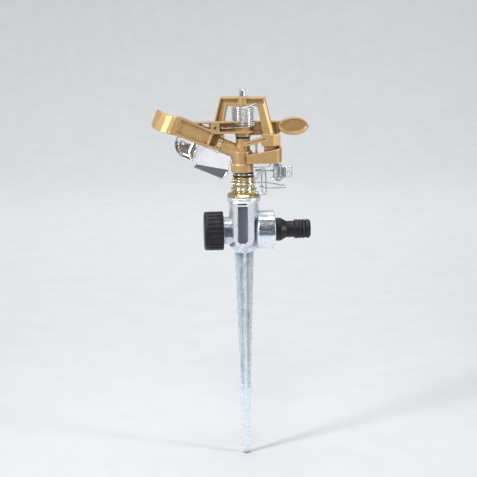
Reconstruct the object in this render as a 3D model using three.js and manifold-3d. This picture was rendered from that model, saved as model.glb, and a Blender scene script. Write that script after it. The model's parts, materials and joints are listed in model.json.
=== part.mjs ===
// Impact sprinkler on a ground spike: a zinc spike with a hose connector and a screw cap,
// a brass bearing, and a cast head with its spring-loaded impact arm, trip mechanism,
// stop collars and deflector flap.
// Millimetres, +Z up. The origin is on the spike's axis at ground level, where the spike
// meets its body. +X points to the hose connector, the front with the pocket is -Y.
import * as THREE from "three";
import { mergeVertices } from "three/addons/utils/BufferGeometryUtils.js";
import Module from "manifold-3d";

const wasm = await Module();
wasm.setup();

// ---------------------------------------------------------------- driving dimensions

const GAP = 0.35; // clearance between neighbouring pieces
const ROUND = 32; // sides of a large round piece
const SMALL = 20; // sides of a small round piece

const spike = { length: 191, top: 8.4, mid: 5.2, midZ: -112, low: 3.5, lowZ: -179, web: 2.4, ribEndZ: -125 };
const barrel = { radius: 13.2, top: 45.4 };
const collar = { radius: 15.4, top: 49.4 };
const pad = { centre: -1.2, half: 9.2, face: -16.8, top: 45.9, bend: 14.8 };
const pocket = { centre: -2.0, half: 4.4, bottom: 13.6, top: 42.2, depth: 3 };
const inlet = { height: 18.1, radius: 17.2, near: 11.0, end: 27.2, thread: 13.0 };
const neck = { radius: 12.0, thread: 13.0, shoulder: -18.8, end: -31.4 };
const waterway = 8.6; // radius of the passages inside the spike body
const cap = { radius: 17.2, near: -18.5, end: -35.6, wall: 2.6, rim: 4.0, ribs: 24 };

const nipple = {
  thread: 10.4, bottom: 37.6, flange: 14.9, flangeZ: 49.75, sleeve: 10.0, coneZ: 53.6, top: 66.7, bore: 5.9,
};
const tube = { outer: 5.5, bore: 4.1, bottom: 33.4, top: 84.2 };
const rings = { lower: [67.05, 68.05], middle: [68.4, 69.55], upper: [69.9, 70.35] };

const body = {
  offset: -1.0, collar: 9.9, collarZ: 70.7, tube: 9.0, tubeZ: 78.2, coneZ: 89.2, neck: 6.2, neckZ: 91.0,
  top: 100.75,
};
const jet = { height: 86.3, rise: 24, radius: 6.35, length: 20.85, bore: 4.1 };
const bridge = { yaw: -14, top: 136.8, half: 19.4, splay: 0.249, thick: 6.8, web: 2.4 };
const pin = { radius: 2.6, bottom: 91.6, top: 143.3 };

const arm = { hub: 6.7, bottom: 102.1, top: 113.8, front: -12, back: -5, web: [-9.2, -7.2] };
const spring = { radius: 9.45, wire: 0.5, bottom: 111.4, top: 127.9, turns: 8 };
const weight = { centre: 44.5, height: 110.2, half: 13.4, rise: 7.8, front: -2.2, back: 3.8 };
const beam = { front: -0.2, back: 5.0 }; // the arm's right beam, behind the weight's rim

const trip = { x: 30.5, y: -3.5, radius: 1.5 }; // pivot pin of the trip lever
const finger = { wire: 0.65, height: 71.3, y: 8.2, bottom: 48.0 };
const stop = { wire: 0.65, ring: 11.0 };
const flap = { y: 7.2, sheet: 0.8, pivotX: -10.3, pivotZ: 90.5, ear: 4.2 };

// ---------------------------------------------------------------- materials

const finish = (color, metalness, roughness) => new THREE.MeshStandardMaterial({ color, metalness, roughness });
const gold = finish(0xc8a064, 0.35, 0.5);
const zinc = finish(0xb9c6d2, 0.85, 0.35);
const brass = finish(0xd9b860, 0.9, 0.25);
const steel = finish(0xd0d2d6, 0.95, 0.2);
const chrome = finish(0xe8e8ee, 1.0, 0.08);
const blackPlastic = finish(0x2b2a2f, 0.0, 0.5);
const rubber = finish(0x1a1a1a, 0.0, 0.8);
const nylon = finish(0xe9e6dc, 0.0, 0.5);

// ---------------------------------------------------------------- solids: joining and cutting

function solidOf(geometry) {
  const plain = geometry.index ? geometry.toNonIndexed() : geometry.clone();
  plain.deleteAttribute("normal");
  plain.deleteAttribute("uv");
  const merged = mergeVertices(plain, 1e-4);
  return new wasm.Manifold(
    new wasm.Mesh({
      numProp: 3,
      vertProperties: merged.attributes.position.array,
      triVerts: new Uint32Array(merged.index.array),
    }),
  );
}

function geometryOf(solid) {
  const mesh = solid.getMesh();
  const geometry = new THREE.BufferGeometry();
  geometry.setAttribute("position", new THREE.BufferAttribute(mesh.vertProperties.slice(), 3));
  geometry.setIndex(new THREE.BufferAttribute(mesh.triVerts.slice(), 1));
  geometry.computeVertexNormals();
  return geometry;
}

const join = (...parts) => geometryOf(parts.map(solidOf).reduce((a, b) => a.add(b)));
const cut = (from, ...tools) => geometryOf(tools.map(solidOf).reduce((a, b) => a.subtract(b), solidOf(from)));
const common = (a, b) => geometryOf(solidOf(a).intersect(solidOf(b)));

// ---------------------------------------------------------------- basic shapes

const radians = THREE.MathUtils.degToRad;
const points2 = (list) => list.map(([x, y]) => new THREE.Vector2(x, y));
const points3 = (list) => list.map(([x, y, z]) => new THREE.Vector3(x, y, z));

// A closed [radius, height] outline turned about the Z axis.
function turned(outline, sides = ROUND) {
  const points = points2(outline);
  if (points[0].x > 0 && !points[0].equals(points.at(-1))) points.push(points[0].clone());
  if (THREE.ShapeUtils.area(points) < 0) points.reverse();
  return new THREE.LatheGeometry(points, sides).rotateX(Math.PI / 2);
}

const ringOf = (outer, inner, bottom, top, sides = ROUND) =>
  turned([[inner, bottom], [outer, bottom], [outer, top], [inner, top]], sides);

const disc = (radius, bottom, top, sides = ROUND) =>
  turned([[0, bottom], [radius, bottom], [radius, top], [0, top]], sides);

// The same shapes turned about X, or about Y, through a centre.
const aboutX = (geometry, z = 0) => geometry.rotateY(Math.PI / 2).translate(0, 0, z);
const aboutY = (geometry, x, z) => geometry.rotateX(-Math.PI / 2).translate(x, 0, z);

function box(x, y, z) {
  const size = [x, y, z].map(([low, high]) => high - low);
  const middle = [x, y, z].map(([low, high]) => (high + low) / 2);
  return new THREE.BoxGeometry(...size).translate(...middle);
}

const shapeOf = (outline) => (outline instanceof THREE.Shape ? outline : new THREE.Shape(points2(outline)));

// An outline drawn in X and Y, standing from one height to another.
const upright = (outline, [bottom, top], curveSegments = 12) =>
  new THREE.ExtrudeGeometry(shapeOf(outline), { depth: top - bottom, bevelEnabled: false, curveSegments })
    .translate(0, 0, bottom);

// An outline drawn in X and Z, running from one Y to another.
const panel = (outline, [front, back], curveSegments = 12) =>
  new THREE.ExtrudeGeometry(shapeOf(outline), { depth: back - front, bevelEnabled: false, curveSegments })
    .rotateX(Math.PI / 2)
    .translate(0, back, 0);

function rod(radius, from, to, sides = SMALL) {
  const [a, b] = points3([from, to]);
  const along = b.clone().sub(a);
  return new THREE.CylinderGeometry(radius, radius, along.length(), sides)
    .applyQuaternion(
      new THREE.Quaternion().setFromUnitVectors(new THREE.Vector3(0, 1, 0), along.clone().normalize()),
    )
    .translate(...a.add(b).multiplyScalar(0.5).toArray());
}

// Round wire along a smooth curve through points, a step every few tenths of a millimetre.
function wire(list, radius, step, sides = 6) {
  const curve = new THREE.CatmullRomCurve3(points3(list), false, "centripetal");
  const section = [];
  for (let i = 0; i < sides; i++) {
    const a = (2 * Math.PI * i) / sides;
    section.push(new THREE.Vector2(radius * Math.cos(a), radius * Math.sin(a)));
  }
  const steps = Math.round(curve.getLength() / step);
  return new THREE.ExtrudeGeometry(new THREE.Shape(section), { steps, extrudePath: curve,
      bevelEnabled: false });
}

// Points round a circle about the Z axis, rising or falling evenly from one height to another.
function arc(radius, [from, to], [z0, z1], count) {
  const list = [];
  for (let i = 0; i <= count; i++) {
    const t = i / count;
    const a = radians(from + (to - from) * t);
    list.push([radius * Math.cos(a), radius * Math.sin(a), z0 + (z1 - z0) * t]);
  }
  return list;
}

// A strip of sheet that follows a centre line in the plane, as an outline.
function strip(line, thickness) {
  const path = points2(line);
  const side = (sign) =>
    path.map((p, i) => {
      const before = path[Math.max(i - 1, 0)];
      const after = path[Math.min(i + 1, path.length - 1)];
      const along = after.clone().sub(before).normalize();
      return [p.x - (sign * along.y * thickness) / 2, p.y + (sign * along.x * thickness) / 2];
    });
  return [...side(-1), ...side(1).reverse()];
}

// ---------------------------------------------------------------- the jet's own frame

// In the jet frame X runs along the barrel from the body's axis, Y towards the front, Z upwards.
const jetMatrix = new THREE.Matrix4()
  .makeRotationFromEuler(new THREE.Euler(0, radians(jet.rise), Math.PI))
  .setPosition(0, 0, jet.height);
const inJet = (geometry) => geometry.applyMatrix4(jetMatrix);
const jetRod = (radius, near, far, sides = 24) => inJet(rod(radius, [near, 0, 0], [far, 0, 0], sides));

// ---------------------------------------------------------------- spike and its fittings

function roundEndedPanel(centre, half, bottom, top) {
  const outline = new THREE.Shape();
  outline.moveTo(centre + half, top);
  outline.lineTo(centre - half, top);
  outline.lineTo(centre - half, bottom);
  outline.absarc(centre, bottom, half, Math.PI, 2 * Math.PI, false);
  outline.lineTo(centre + half, top);
  return outline;
}

function spikeBlade() {
  const { length, top, mid, midZ, low, lowZ, web, ribEndZ } = spike;
  const outline = [
    [top, 4], [-top, 4], [-top, 0], [-mid, midZ], [-low, lowZ],
    [-1.2, -length], [1.2, -length], [low, lowZ], [mid, midZ], [top, 0],
  ];
  const wide = panel(outline, [-web / 2, web / 2]);
  const rib = panel(
    [[top, 4], [-top, 4], [-top, 0], [-mid, midZ], [-web, ribEndZ - 12], [web, ribEndZ - 12],
    [mid, midZ], [top, 0]],
    [-web / 2, web / 2],
  ).rotateZ(Math.PI / 2);
  const point = panel(
    [[-low - 0.6, ribEndZ], [-low + 0.2, lowZ], [-1.2, 0.6 - length], [1.2, 0.6 - length], [low - 0.2, lowZ],
      [low + 0.6, ribEndZ]],
    [-web, web],
  );
  return join(wide, rib, point);
}

function spikeBase() {
  const column = turned([
    [0, -1.2], [8.2, -1.2], [barrel.radius, 4.5], [barrel.radius, barrel.top - 1.4],
    [collar.radius, barrel.top],
    [collar.radius, collar.top - 0.6], [collar.radius - 0.6, collar.top], [0, collar.top],
  ]);
  const front = panel(roundEndedPanel(pad.centre, pad.half, pad.bend, pad.top), [pad.face, -8]);
  const hub = aboutX(
    turned([[0, 8], [13, 8], [inlet.radius - 1, inlet.near], [inlet.radius, inlet.near + 1],
      [inlet.radius, inlet.end - 0.8], [inlet.radius - 0.8, inlet.end], [0, inlet.end]]),
    inlet.height,
  );
  const stub = aboutX(
    turned([[0, neck.end], [neck.thread - 0.8, neck.end], [neck.thread, neck.end + 0.8],
      [neck.thread, neck.shoulder], [neck.radius, neck.shoulder], [neck.radius, -6], [0, -6]]),
    inlet.height,
  );
  const recess = panel(roundEndedPanel(pocket.centre, pocket.half, pocket.bottom, pocket.top),
    [pad.face - 1, pad.face + pocket.depth]);
  const slot = box([pocket.centre - 4.2, pocket.centre + 3.9], [pad.face - 1, pad.face + 2], [43.6, 45.0]);
  const bores = [
    disc(nipple.thread + GAP, nipple.bottom - GAP, 60),
    disc(13.1, 47.8, 60),
    disc(9.3, inlet.height, 39),
    aboutX(disc(inlet.thread, 19.6, 40), inlet.height),
    aboutX(disc(waterway, neck.end - 5, 30, 24), inlet.height),
  ];
  return cut(join(column, front, hub, stub, spikeBlade()), recess, slot, ...bores);
}

function outletCap() {
  const depth = 0.7;
  const outline = [];
  for (let i = 0; i < cap.ribs; i++) {
    const a = (2 * Math.PI * i) / cap.ribs;
    const step = Math.PI / cap.ribs;
    for (const [turn, radius] of [[0, cap.radius], [0.9, cap.radius], [1.1, cap.radius - depth],
      [1.9, cap.radius - depth]])
      outline.push([radius * Math.cos(a + turn * step), radius * Math.sin(a + turn * step)]);
  }
  const grip = aboutX(upright(outline, [cap.end + cap.rim, cap.near]), inlet.height);
  const rim = aboutX(
    turned([[0, cap.end], [cap.radius - 1.2, cap.end], [cap.radius, cap.end + 1],
      [cap.radius, cap.end + cap.rim],
      [0, cap.end + cap.rim]], 48),
    inlet.height,
  );
  const inside = aboutX(disc(neck.thread + GAP, cap.end + cap.wall, 0), inlet.height);
  return cut(join(grip, rim), inside);
}

const capWasher = () => aboutX(ringOf(12.6, 8.2, cap.end + cap.wall + 0.3, neck.end - 0.3), inlet.height);

function hoseConnector() {
  return aboutX(
    turned([
      [5.4, 20.9], [12.6, 20.9], [12.6, inlet.end + 0.3], [10.3, inlet.end + 0.7], [10.3, 32.6], [7.4, 37.4],
      [7.35, 44.2], [8.5, 45.2], [8.5, 48.4], [7.9, 48.8], [8.4, 49.3], [8.4, 51.0], [6.5, 51.2], [6.5, 54.5],
      [8.3, 54.7], [8.4, 57.6], [7.2, 58.9], [5.4, 58.9],
    ]),
    inlet.height,
  );
}

const connectorORing = () => aboutX(ringOf(8.35, 6.8, 51.6, 54.1), inlet.height);
const connectorSeal = () => aboutX(ringOf(12.4, 8.8, 19.9, 20.6), inlet.height);

// ---------------------------------------------------------------- bearing

function bearingNipple() {
  const { thread, bottom, flange, flangeZ, sleeve, coneZ, top, bore } = nipple;
  const cup = { radius: 8.0, floor: 57.6 }; // holds the bearing spring
  return turned([
    [bore, bottom], [thread, bottom], [thread, flangeZ], [flange, flangeZ], [flange, flangeZ + 0.8],
    [flange - 1.6, flangeZ + 2.3], [sleeve, coneZ], [sleeve, top - 0.5], [sleeve - 0.5, top], [cup.radius, top],
    [cup.radius, cup.floor], [bore, cup.floor],
  ]);
}

const nippleSeal = () => ringOf(12.7, 10.9, 48.1, 49.4);

const bearingTube = () =>
  turned([[tube.bore, tube.bottom], [8.0, tube.bottom], [8.0, 35.9], [tube.outer, 35.9], [tube.outer, tube.top],
    [tube.bore, tube.top]], 24);

const flangeWasher = () => ringOf(8.2, 5.9, 36.25, 37.2, 24);
const sealRing = (heights, outer) => ringOf(outer, 5.85, ...heights, 24);
const bearingSpring = () => wire(arc(6.95, [0, 360 * 4], [58.4, 65.9], 48), 0.5, 2.6);

// ---------------------------------------------------------------- sprinkler head

// One half of the bridge's channel, drawn beside the pin as [distance, height] and mirrored by sign.
function bridgeFrame() {
  const { top, half, splay, thick, web } = bridge;
  const outer = (z) => half + (top - z) * splay;
  const inner = (z) => 13.4 + (129 - z) * 0.21;
  const outline = [
    [-half, top], [half, top], [outer(104), 104], [outer(104), 96], [inner(96), 96], [inner(129), 129],
    [-inner(129), 129], [-inner(96), 96], [-inner(94.5) - 0.5, 94.5], [-outer(97), 96.6],
  ];
  const frame = panel(outline, [-thick / 2, thick / 2]);
  const rim = 1.6;
  const leg = (sign) => [
    [sign * (outer(131.2) - rim), 131.2], [sign * (outer(106) - rim), 106],
    [sign * (inner(106) + rim), 106], [sign * (inner(131.2) + rim), 131.2],
  ];
  const bar = [
    [rim - outer(134.8), 134.8], [outer(134.8) - rim, 134.8], [outer(131.2) - rim, 131.2],
    [rim - outer(131.2), 131.2],
  ];
  const pockets = [leg(-1), bar].map((outline) => panel(outline, [-thick, -web / 2]));
  pockets.push(...[leg(1), leg(-1), bar].map((outline) => panel(outline, [web / 2, thick])));
  // The right leg is solid in front, with its outer corner cut away along the leg.
  const [side, front] = [half + 0.1, -thick / 2 - 0.1];
  const chamfer = upright([[side - 2.8, front], [side + 8, front], [side + 8, front + 10.8]], [80, 134.8])
    .applyMatrix4(new THREE.Matrix4().makeShear(0, 0, 0, 0, -splay, 0))
    .translate(top * splay, 0, 0);
  const boss = disc(4.6, 129, 137.2, 24);
  return join(cut(frame, ...pockets, chamfer), boss).rotateZ(radians(bridge.yaw));
}

// The web that carries the left leg down to the back of the barrel.
const leftFoot = () =>
  panel([[-29, 104], [-30.6, 97], [-24, 94.2], [-10, 88], [-10, 97], [-16, 99], [-21, 104]], [0.2, 3.4])
    .rotateZ(radians(bridge.yaw));

function rightFoot() {
  const block = upright([[16, -9.2], [25.5, -10.6], [32.8, -6], [31, -2], [16, -1.6]], [94, 104.4]);
  const waist = upright([[18, -8], [25, -9], [30, -5], [29, -2.4], [18, -2.2]], [84, 95]);
  const lug = cut(
    panel([[0.5, 93.6], [18.7, 98.4], [18.7, 102.4], [0.5, 97.4]], [-9.2, -3.6]),
    panel([[3, 95.6], [18.7, 99.7], [18.7, 101.2], [3, 96.9]], [-10, -8.3]),
  );
  const post = box([10.2, 12.2], [-9, -5], [86, 98.5]);
  return join(block, waist, lug, post);
}

// The skirt that shields the trip mechanism: a bent wall below a flat shelf.
function tripHousing() {
  const wall = new THREE.Shape();
  wall.moveTo(2.2, -13);
  wall.lineTo(25.6, -13);
  wall.absarc(25.6, -5, 8, -Math.PI / 2, 0, false);
  wall.lineTo(33.6, -1);
  wall.lineTo(31.6, -1);
  wall.lineTo(31.6, -5);
  wall.absarc(25.6, -5, 6, 0, -Math.PI / 2, true);
  wall.lineTo(2.2, -11);
  const side = panel([[-5, 79.3], [35, 79.3], [35, 93.2], [24, 90.6], [-5, 86.0]], [-20, 20]);
  const shelf = upright([[3, -11.6], [26, -11.6], [32, -6], [32, -1.4], [24, -1.4], [12, 5], [3, 6]],
      [84.6, 86.8]);
  const boss = rod(3.4, [trip.x - 1, trip.y, 80.5], [trip.x - 1, trip.y, 86], SMALL);
  return join(common(upright(wall, [79, 91]), side), shelf, boss);
}

function headBody() {
  const tower = turned([
    [0, body.collarZ], [body.collar - 0.5, body.collarZ], [body.collar, body.collarZ + 0.5],
    [body.collar, body.tubeZ - 0.4], [body.tube, body.tubeZ], [body.tube, body.coneZ], [5, body.neckZ],
    [0, body.neckZ],
  ]).translate(body.offset, 0, 0);
  const column = join(tower, disc(body.neck, body.coneZ - 2, body.top, 28));
  const flapBoss = aboutY(disc(4.0, 3, flap.y - GAP, SMALL), flap.pivotX, flap.pivotZ);
  const solid = join(column, jetRod(jet.radius, 0, jet.length), flapBoss, bridgeFrame(), leftFoot(),
      rightFoot(),
    tripHousing());
  return cut(
    solid,
    disc(tube.outer + GAP, 60, tube.top + 0.6, 24),
    jetRod(jet.bore, -0.5, 30),
    jetRod(5.1, 13.8, 34),
    jetRod(5.8, jet.length, 34),
    rod(pin.radius + GAP, [0, 0, pin.bottom - 0.4], [0, 0, 150]),
    rod(trip.radius + GAP, [trip.x, trip.y, 79], [trip.x, trip.y, 84.8], 12),
    rod(0.95, [6, 4, 73.8], [14, 4, 73.8], 8),
    aboutY(disc(1.5 + GAP, 4.6, 20, 12), flap.pivotX, flap.pivotZ),
  );
}

// Drawn in the jet's frame: a hexagon outside the barrel, a threaded shank inside.
function nozzle() {
  const shank = rod(4.7, [14.2, 0, 0], [21.4, 0, 0], 24);
  const hexagon = rod(5.3, [21.2, 0, 0], [25.4, 0, 0], 6);
  const bore = rod(2.1, [10, 0, 0], [30, 0, 0], 16);
  return cut(join(shank, hexagon), bore);
}

const fulcrumPin = () =>
  turned([[0, pin.bottom], [pin.radius, pin.bottom], [pin.radius, pin.top - 0.5], [pin.radius - 0.5, pin.top],
    [0, pin.top]], SMALL);

// ---------------------------------------------------------------- impact arm

function armSpring() {
  const { radius, bottom, top, turns } = spring;
  const coil = arc(radius, [-90, -90 + 360 * turns], [bottom, top], Math.round(turns * 12));
  const lowerLeg = [[-18.6, -10.4, 110.9], [-8, -10.1, 111.1], [-4, -9.8, 111.3]];
  const upperLeg = [[4, -9.2, 128.7], [8.5, -8.3, 130.6], [11.6, -7.6, 131.4]];
  return wire([...lowerLeg, ...coil, ...upperLeg], spring.wire, 2.8);
}

const armBushing = () =>
  turned([[2.95, 101.1], [6.5, 101.1], [6.5, 101.75], [4.3, 101.75], [4.3, 113.6], [2.95, 113.6]], 24);

// The beam beside the jet, drawn in the jet's frame as [along, up].
const beamUpper = [[31, 8.9], [42, 9.2], [64, 9.2], [68, 8]];
const beamLower = [[22, -3.5], [32, -4.3], [43, -5.1], [60, -5.3], [68, -6.4]];

function spoonBeam() {
  const web = panel([...beamUpper, ...[...beamLower].reverse()], [7.2, 9.2]);
  const recess = panel([[33, 12], [20, 12], [20, -2.4], [33, -3.4]], [5, 11]);
  const floor = panel([[34, 8.9], [26.2, 8.6], [26.2, -3.6], [34, -4.4]], [5.2, 6.6]);
  const step = panel([[34.2, 8.9], [32.4, 8.9], [31.6, -4], [33.4, -4.2]], [5.2, 11]);
  const rim = (line) => panel(strip(line, 2), [5, 12]);
  return inJet(join(cut(web, recess), floor, step, rim(beamUpper), rim(beamLower)));
}

// The solid end of the beam and the curved vane that crosses the jet beyond it, in plan and in outline.
function spoonVane() {
  const plan = [
    [63.5, 12], [67, 11.9], [71, 10.6], [75.2, 7.8], [80, 3.2], [85.4, -3.6], [83.2, -5.9], [77.8, 0.6],
    [73.4, 4.8], [69.3, 7.2], [66, 7.8], [57, 7.8], [57, 8.8], [60, 9.1],
  ];
  const outline = [
    [56, -6.2], [60, -6.3], [79.2, -9.6], [83.8, -8.3], [84.6, 7.6], [81, 7.2], [74.5, 7.2], [66, 10.1],
    [56, 10.1],
  ];
  return inJet(common(upright(plan, [-14, 14]), panel(outline, [-12, 14])));
}

function leftBeam() {
  const { front, back, web } = arm;
  const plate = panel([[0, 106.4], [-26, 106.4], [-25.4, 107.6], [-42, 115], [-42, 116.5], [0, 116.5]], web);
  const opening = panel([[-29.9, 111.4], [-37.4, 114.7], [-29.9, 114.7]], [front, 0]);
  const topFlange = box([-43, -2.5], [front, back], [115.3, 116.7]);
  const lowFlange = box([-26.4, 0], [front, back], [106.2, 107.8]);
  const boss = cut(box([-28.6, -21.0], [front, back], [107, 116]), aboutY(disc(1.0, -20, 0, 12), -24.6, 111.2));
  const peg = rod(1.5, [-18.4, -8.5, 102.4], [-18.4, -8.5, 107.0], 12);
  return join(cut(plate, opening), topFlange, lowFlange, boss, peg);
}

function rightBeam() {
  const { front, back } = beam;
  const outline = [[0, 102.6], [31, 103.4], [34, 106], [34, 113.6], [32, 115], [0, 115]];
  const solid = panel(outline, [front, back]);
  const hollow = [[8, 104.6], [29, 105], [29, 113.2], [8, 113.2]];
  return cut(solid, panel(hollow, [front - 1, front + 1.8]), panel(hollow, [back - 1.8, back + 1]));
}

// A dished weight whose outline is round towards the arm and drawn to a blunt point at its far end.
function counterweight() {
  const { centre, height, half, rise, front, back } = weight;
  const lens = (inset) => {
    const outline = [];
    for (let i = 0; i < 44; i++) {
      const a = (2 * Math.PI * i) / 44;
      const [c, s] = [Math.cos(a), Math.sin(a)];
      const lift = Math.sign(s) * Math.abs(s) ** (1 + 0.6 * Math.max(c, 0) ** 2);
      outline.push([centre + (half - inset) * c, height + (rise - inset) * lift]);
    }
    return outline;
  };
  return cut(panel(lens(0), [front, back]), panel(lens(1.5), [front - 1, front + 2.2]));
}

function impactArm() {
  const hub = disc(arm.hub, arm.bottom, arm.top);
  const seat = disc(9.6, 105.7, 107.5);
  const gusset = upright([[-12, -9.1], [0, -9.1], [6, -4], [7, 3], [0, 5], [-6, 2]], [106, 110.6]);
  const arms = cut(join(leftBeam(), rightBeam(), gusset, seat), disc(10.9, 110.7, 122));
  return cut(
    join(arms, hub, spoonBeam(), spoonVane(), counterweight()),
    rod(4.3 + GAP, [0, 0, 95], [0, 0, 120], 24),
  );
}

// ---------------------------------------------------------------- trip mechanism and stop collars

// The finger: a wire that runs from the lever to the body's side, turns back, and hangs down as a narrow U.
function tripFinger() {
  const { height, y, bottom, wire: radius } = finger;
  const reach = [[28.4, 0.3, height + 0.1], [25.5, -0.8, height], [18, -1.1, height], [13.4, -0.9, height]];
  const back = [[11.2, 0.6, height], [11.2, 3.6, height - 0.1], [12.8, 6.8, height - 0.2],
      [16.0, y, height - 0.2],
    [18.4, y, height - 1.4]];
  const left = [[17.2, y, height - 6], [16.8, y, height - 12], [17.3, y, bottom + 4]];
  const right = [[20.9, y, bottom + 4], [20.6, y, height - 12], [20.4, y, height - 5], [20.0, y, height - 0.4]];
  const turn = [];
  for (let i = 1; i < 6; i++) {
    const a = Math.PI * (1 + i / 6);
    turn.push([19.1 + 1.8 * Math.cos(a), y, bottom + radius + 1.9 + 1.9 * Math.sin(a)]);
  }
  return wire([...reach, ...back, ...left, ...turn, ...right], radius, 1.6);
}

// A flat strap that stiffens the finger's shoulder.
const fingerBrace = () => box([-6.4, 6.4], [-0.4, 0.4], [-1.5, 1.5]);

// The over-centre spring's arm: one end sits in a hole in the body, the other presses beside the lever.
const tripSpring = () =>
  wire([[7.2, 4, 73.8], [12, 4, 73.8], [18, 4, 73.9], [22, 3.9, 74], [24.2, 3.6, 75],
    [24.7, 3.5, 77.2]], 0.55, 1.6);

// A stamped pawl, drawn about its pivot: two ears, a back plate, a bent tab and a tongue up to the arm.
function tripLever() {
  const ear = [[-6.4, 4.6], [4, 4.6], [4, -3.4], [2.6, -4.6], [-1, -4.4], [-2.4, -3.2], [-4.2, -4.6],
      [-6.4, -3.4]];
  const lowerEar = upright(ear, [64.2, 65.2]);
  const upperEar = upright([[-4, 4.6], [4, 4.6], [4, -4.4], [-4, -4.4]], [75.4, 76.4]);
  const back = box([-4, 4], [4.6, 5.6], [64.2, 77.0]);
  const frontStrap = box([-4.1, -1.9], [-4.6, -3.7], [64.6, 76]);
  const knuckle = box([3.2, 4.2], [-4.4, 5.2], [64.2, 76.4]);
  const hasp = upright(strip([[3.7, -4.0], [4.9, -4.9], [6.2, -4.7], [12.2, -0.8]], 1.0), [66.2, 75.4]);
  const eye = rod(1.5, [5.9, 2, 71], [11.3, -7, 71], 16);
  const tongue = box([-2.2, 1.8], [4.6, 5.6], [76, 100.6]);
  const lip = box([-2.2, 1.8], [4.6, 8.2], [99.6, 100.6]);
  const hole = rod(trip.radius + GAP, [0, 0, 60], [0, 0, 80], 12);
  return cut(join(lowerEar, upperEar, back, frontStrap, knuckle, cut(hasp, eye), tongue, lip), hole);
}

const tripPin = () =>
  turned([[0, 62.4], [2.4, 62.4], [2.4, 63.85], [trip.radius, 63.85], [trip.radius, 84.2], [0, 84.2]], 12);

const pinClip = () => ringOf(3.0, trip.radius + GAP, 76.75, 77.4, 12);

// A wire clip round the bearing sleeve whose handle is a narrow loop, drawn pointing along +X.
function stopCollar(height, handleLength, drop) {
  const { ring, wire: radius } = stop;
  const round = arc(ring, [22, 346], [height - 0.5, height + 0.3], 22);
  const end = handleLength;
  const out = [[14, -1.5, height], [20, -1.3, height - 0.5], [end - 3, -1.2, height - drop * 0.55]];
  const turn = [[end - 0.6, -0.8, height - drop * 0.6], [end, 0, height - drop * 0.8],
    [end - 0.6, 0.8, height - drop]];
  const home = [[end - 3, 1.2, height - drop * 1.02], [20, 1.3, height - drop],
      [14.5, 1.5, height - drop * 0.72]];
  return wire([...round, ...out, ...turn, ...home], radius, 2);
}

// ---------------------------------------------------------------- deflector flap

// Sheet drawn in the jet's frame as [along, up]: a plate below the barrel with a rolled cup at its far end.
function deflectorFlap() {
  const back = -flap.y;
  const across = [back - flap.sheet, back];
  const pivot = new THREE.Vector3(flap.pivotX, 0, flap.pivotZ).applyMatrix4(jetMatrix.clone().invert());
  const plate = panel(
    [[6.4, -12], [5.2, -19.7], [7.2, -28.4], [35.1, -28.7], [33.8, -23.8], [39, -23.6], [39, -8.9],
    [23.5, -9.6]],
    across,
  );
  const ear = new THREE.Shape(points2([[17, -9.8], [6.4, -12.6]]));
  ear.absarc(pivot.x, pivot.z, flap.ear, radians(200), radians(-10), true);
  const cupLine = [];
  for (let i = 0; i <= 12; i++) {
    const a = radians(205.6 + (128.8 / 12) * i);
    cupLine.push([48.3 + 11.2 * Math.cos(a), -2.76 + 11.2 * Math.sin(a)]);
  }
  const cup = upright(strip(cupLine, flap.sheet), [-26, -2]);
  const outline = new THREE.Shape();
  outline.moveTo(36, -5.5);
  outline.lineTo(36, -23.6);
  outline.lineTo(46.4, -24.0);
  outline.absarc(46.8, -12.2, 11.8, -Math.PI / 2, 0, false);
  outline.absarc(55, -9, 3.6, 0, Math.PI / 2, false);
  const tongue = common(cup, panel(outline, [-20, 10]));
  const hole = rod(1.5 + GAP, [pivot.x, -20, pivot.z], [pivot.x, 20, pivot.z], 12);
  return inJet(cut(join(plate, panel(ear, across), tongue), hole));
}

const flapScrew = () =>
  aboutY(turned([[0, 4.9], [1.5, 4.9], [1.5, 9.25], [3.2, 9.25], [3.2, 10.2], [2.4, 11], [0, 11]], 16),
    flap.pivotX, flap.pivotZ);

const flapWasher = () => aboutY(ringOf(3.3, 1.9, 8.35, 8.9, 16), flap.pivotX, flap.pivotZ);

// ---------------------------------------------------------------- assembly

const sprinkler = new THREE.Group();

function add(name, geometry, material, parent = sprinkler) {
  const mesh = new THREE.Mesh(geometry, material);
  mesh.name = name;
  parent.add(mesh);
  return mesh;
}

add("spike_base", spikeBase(), zinc);
add("outlet_cap", outletCap(), blackPlastic);
add("cap_washer", capWasher(), rubber);
add("hose_connector", hoseConnector(), blackPlastic);
add("connector_o_ring", connectorORing(), rubber);
add("connector_seal", connectorSeal(), rubber);

add("bearing_nipple", bearingNipple(), brass);
add("nipple_seal", nippleSeal(), rubber);
add("bearing_tube", bearingTube(), brass);
add("flange_washer", flangeWasher(), nylon);
add("bearing_spring", bearingSpring(), steel);
add("lower_seal_ring", sealRing(rings.lower, 8.9), rubber);
add("friction_ring", sealRing(rings.middle, 9.2), steel);
add("upper_seal_ring", sealRing(rings.upper, 8.9), rubber);

add("head_body", headBody(), gold);
add("nozzle", inJet(nozzle()), brass);
add("fulcrum_pin", fulcrumPin(), steel);
add("arm_spring", armSpring(), steel);
add("impact_arm", impactArm(), gold);
add("arm_bushing", armBushing(), blackPlastic);

const pivot = new THREE.Group();
pivot.position.set(trip.x, trip.y, 0);
sprinkler.add(pivot);
add("trip_lever", tripLever(), steel, pivot);
add("trip_pin", tripPin(), steel, pivot);
add("pin_clip", pinClip(), steel, pivot);
add("trip_finger", tripFinger(), steel);
add("trip_spring", tripSpring(), steel);
const brace = add("finger_brace", fingerBrace(), steel);
brace.position.set(15.5, 6.8, 67.5);
brace.rotation.y = radians(-49.4);

add("upper_stop_collar", stopCollar(61.2, 37.2, 5.6), steel);
add("lower_stop_collar", stopCollar(55.9, 27.5, 1.4), steel).rotation.z = radians(-60);

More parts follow.
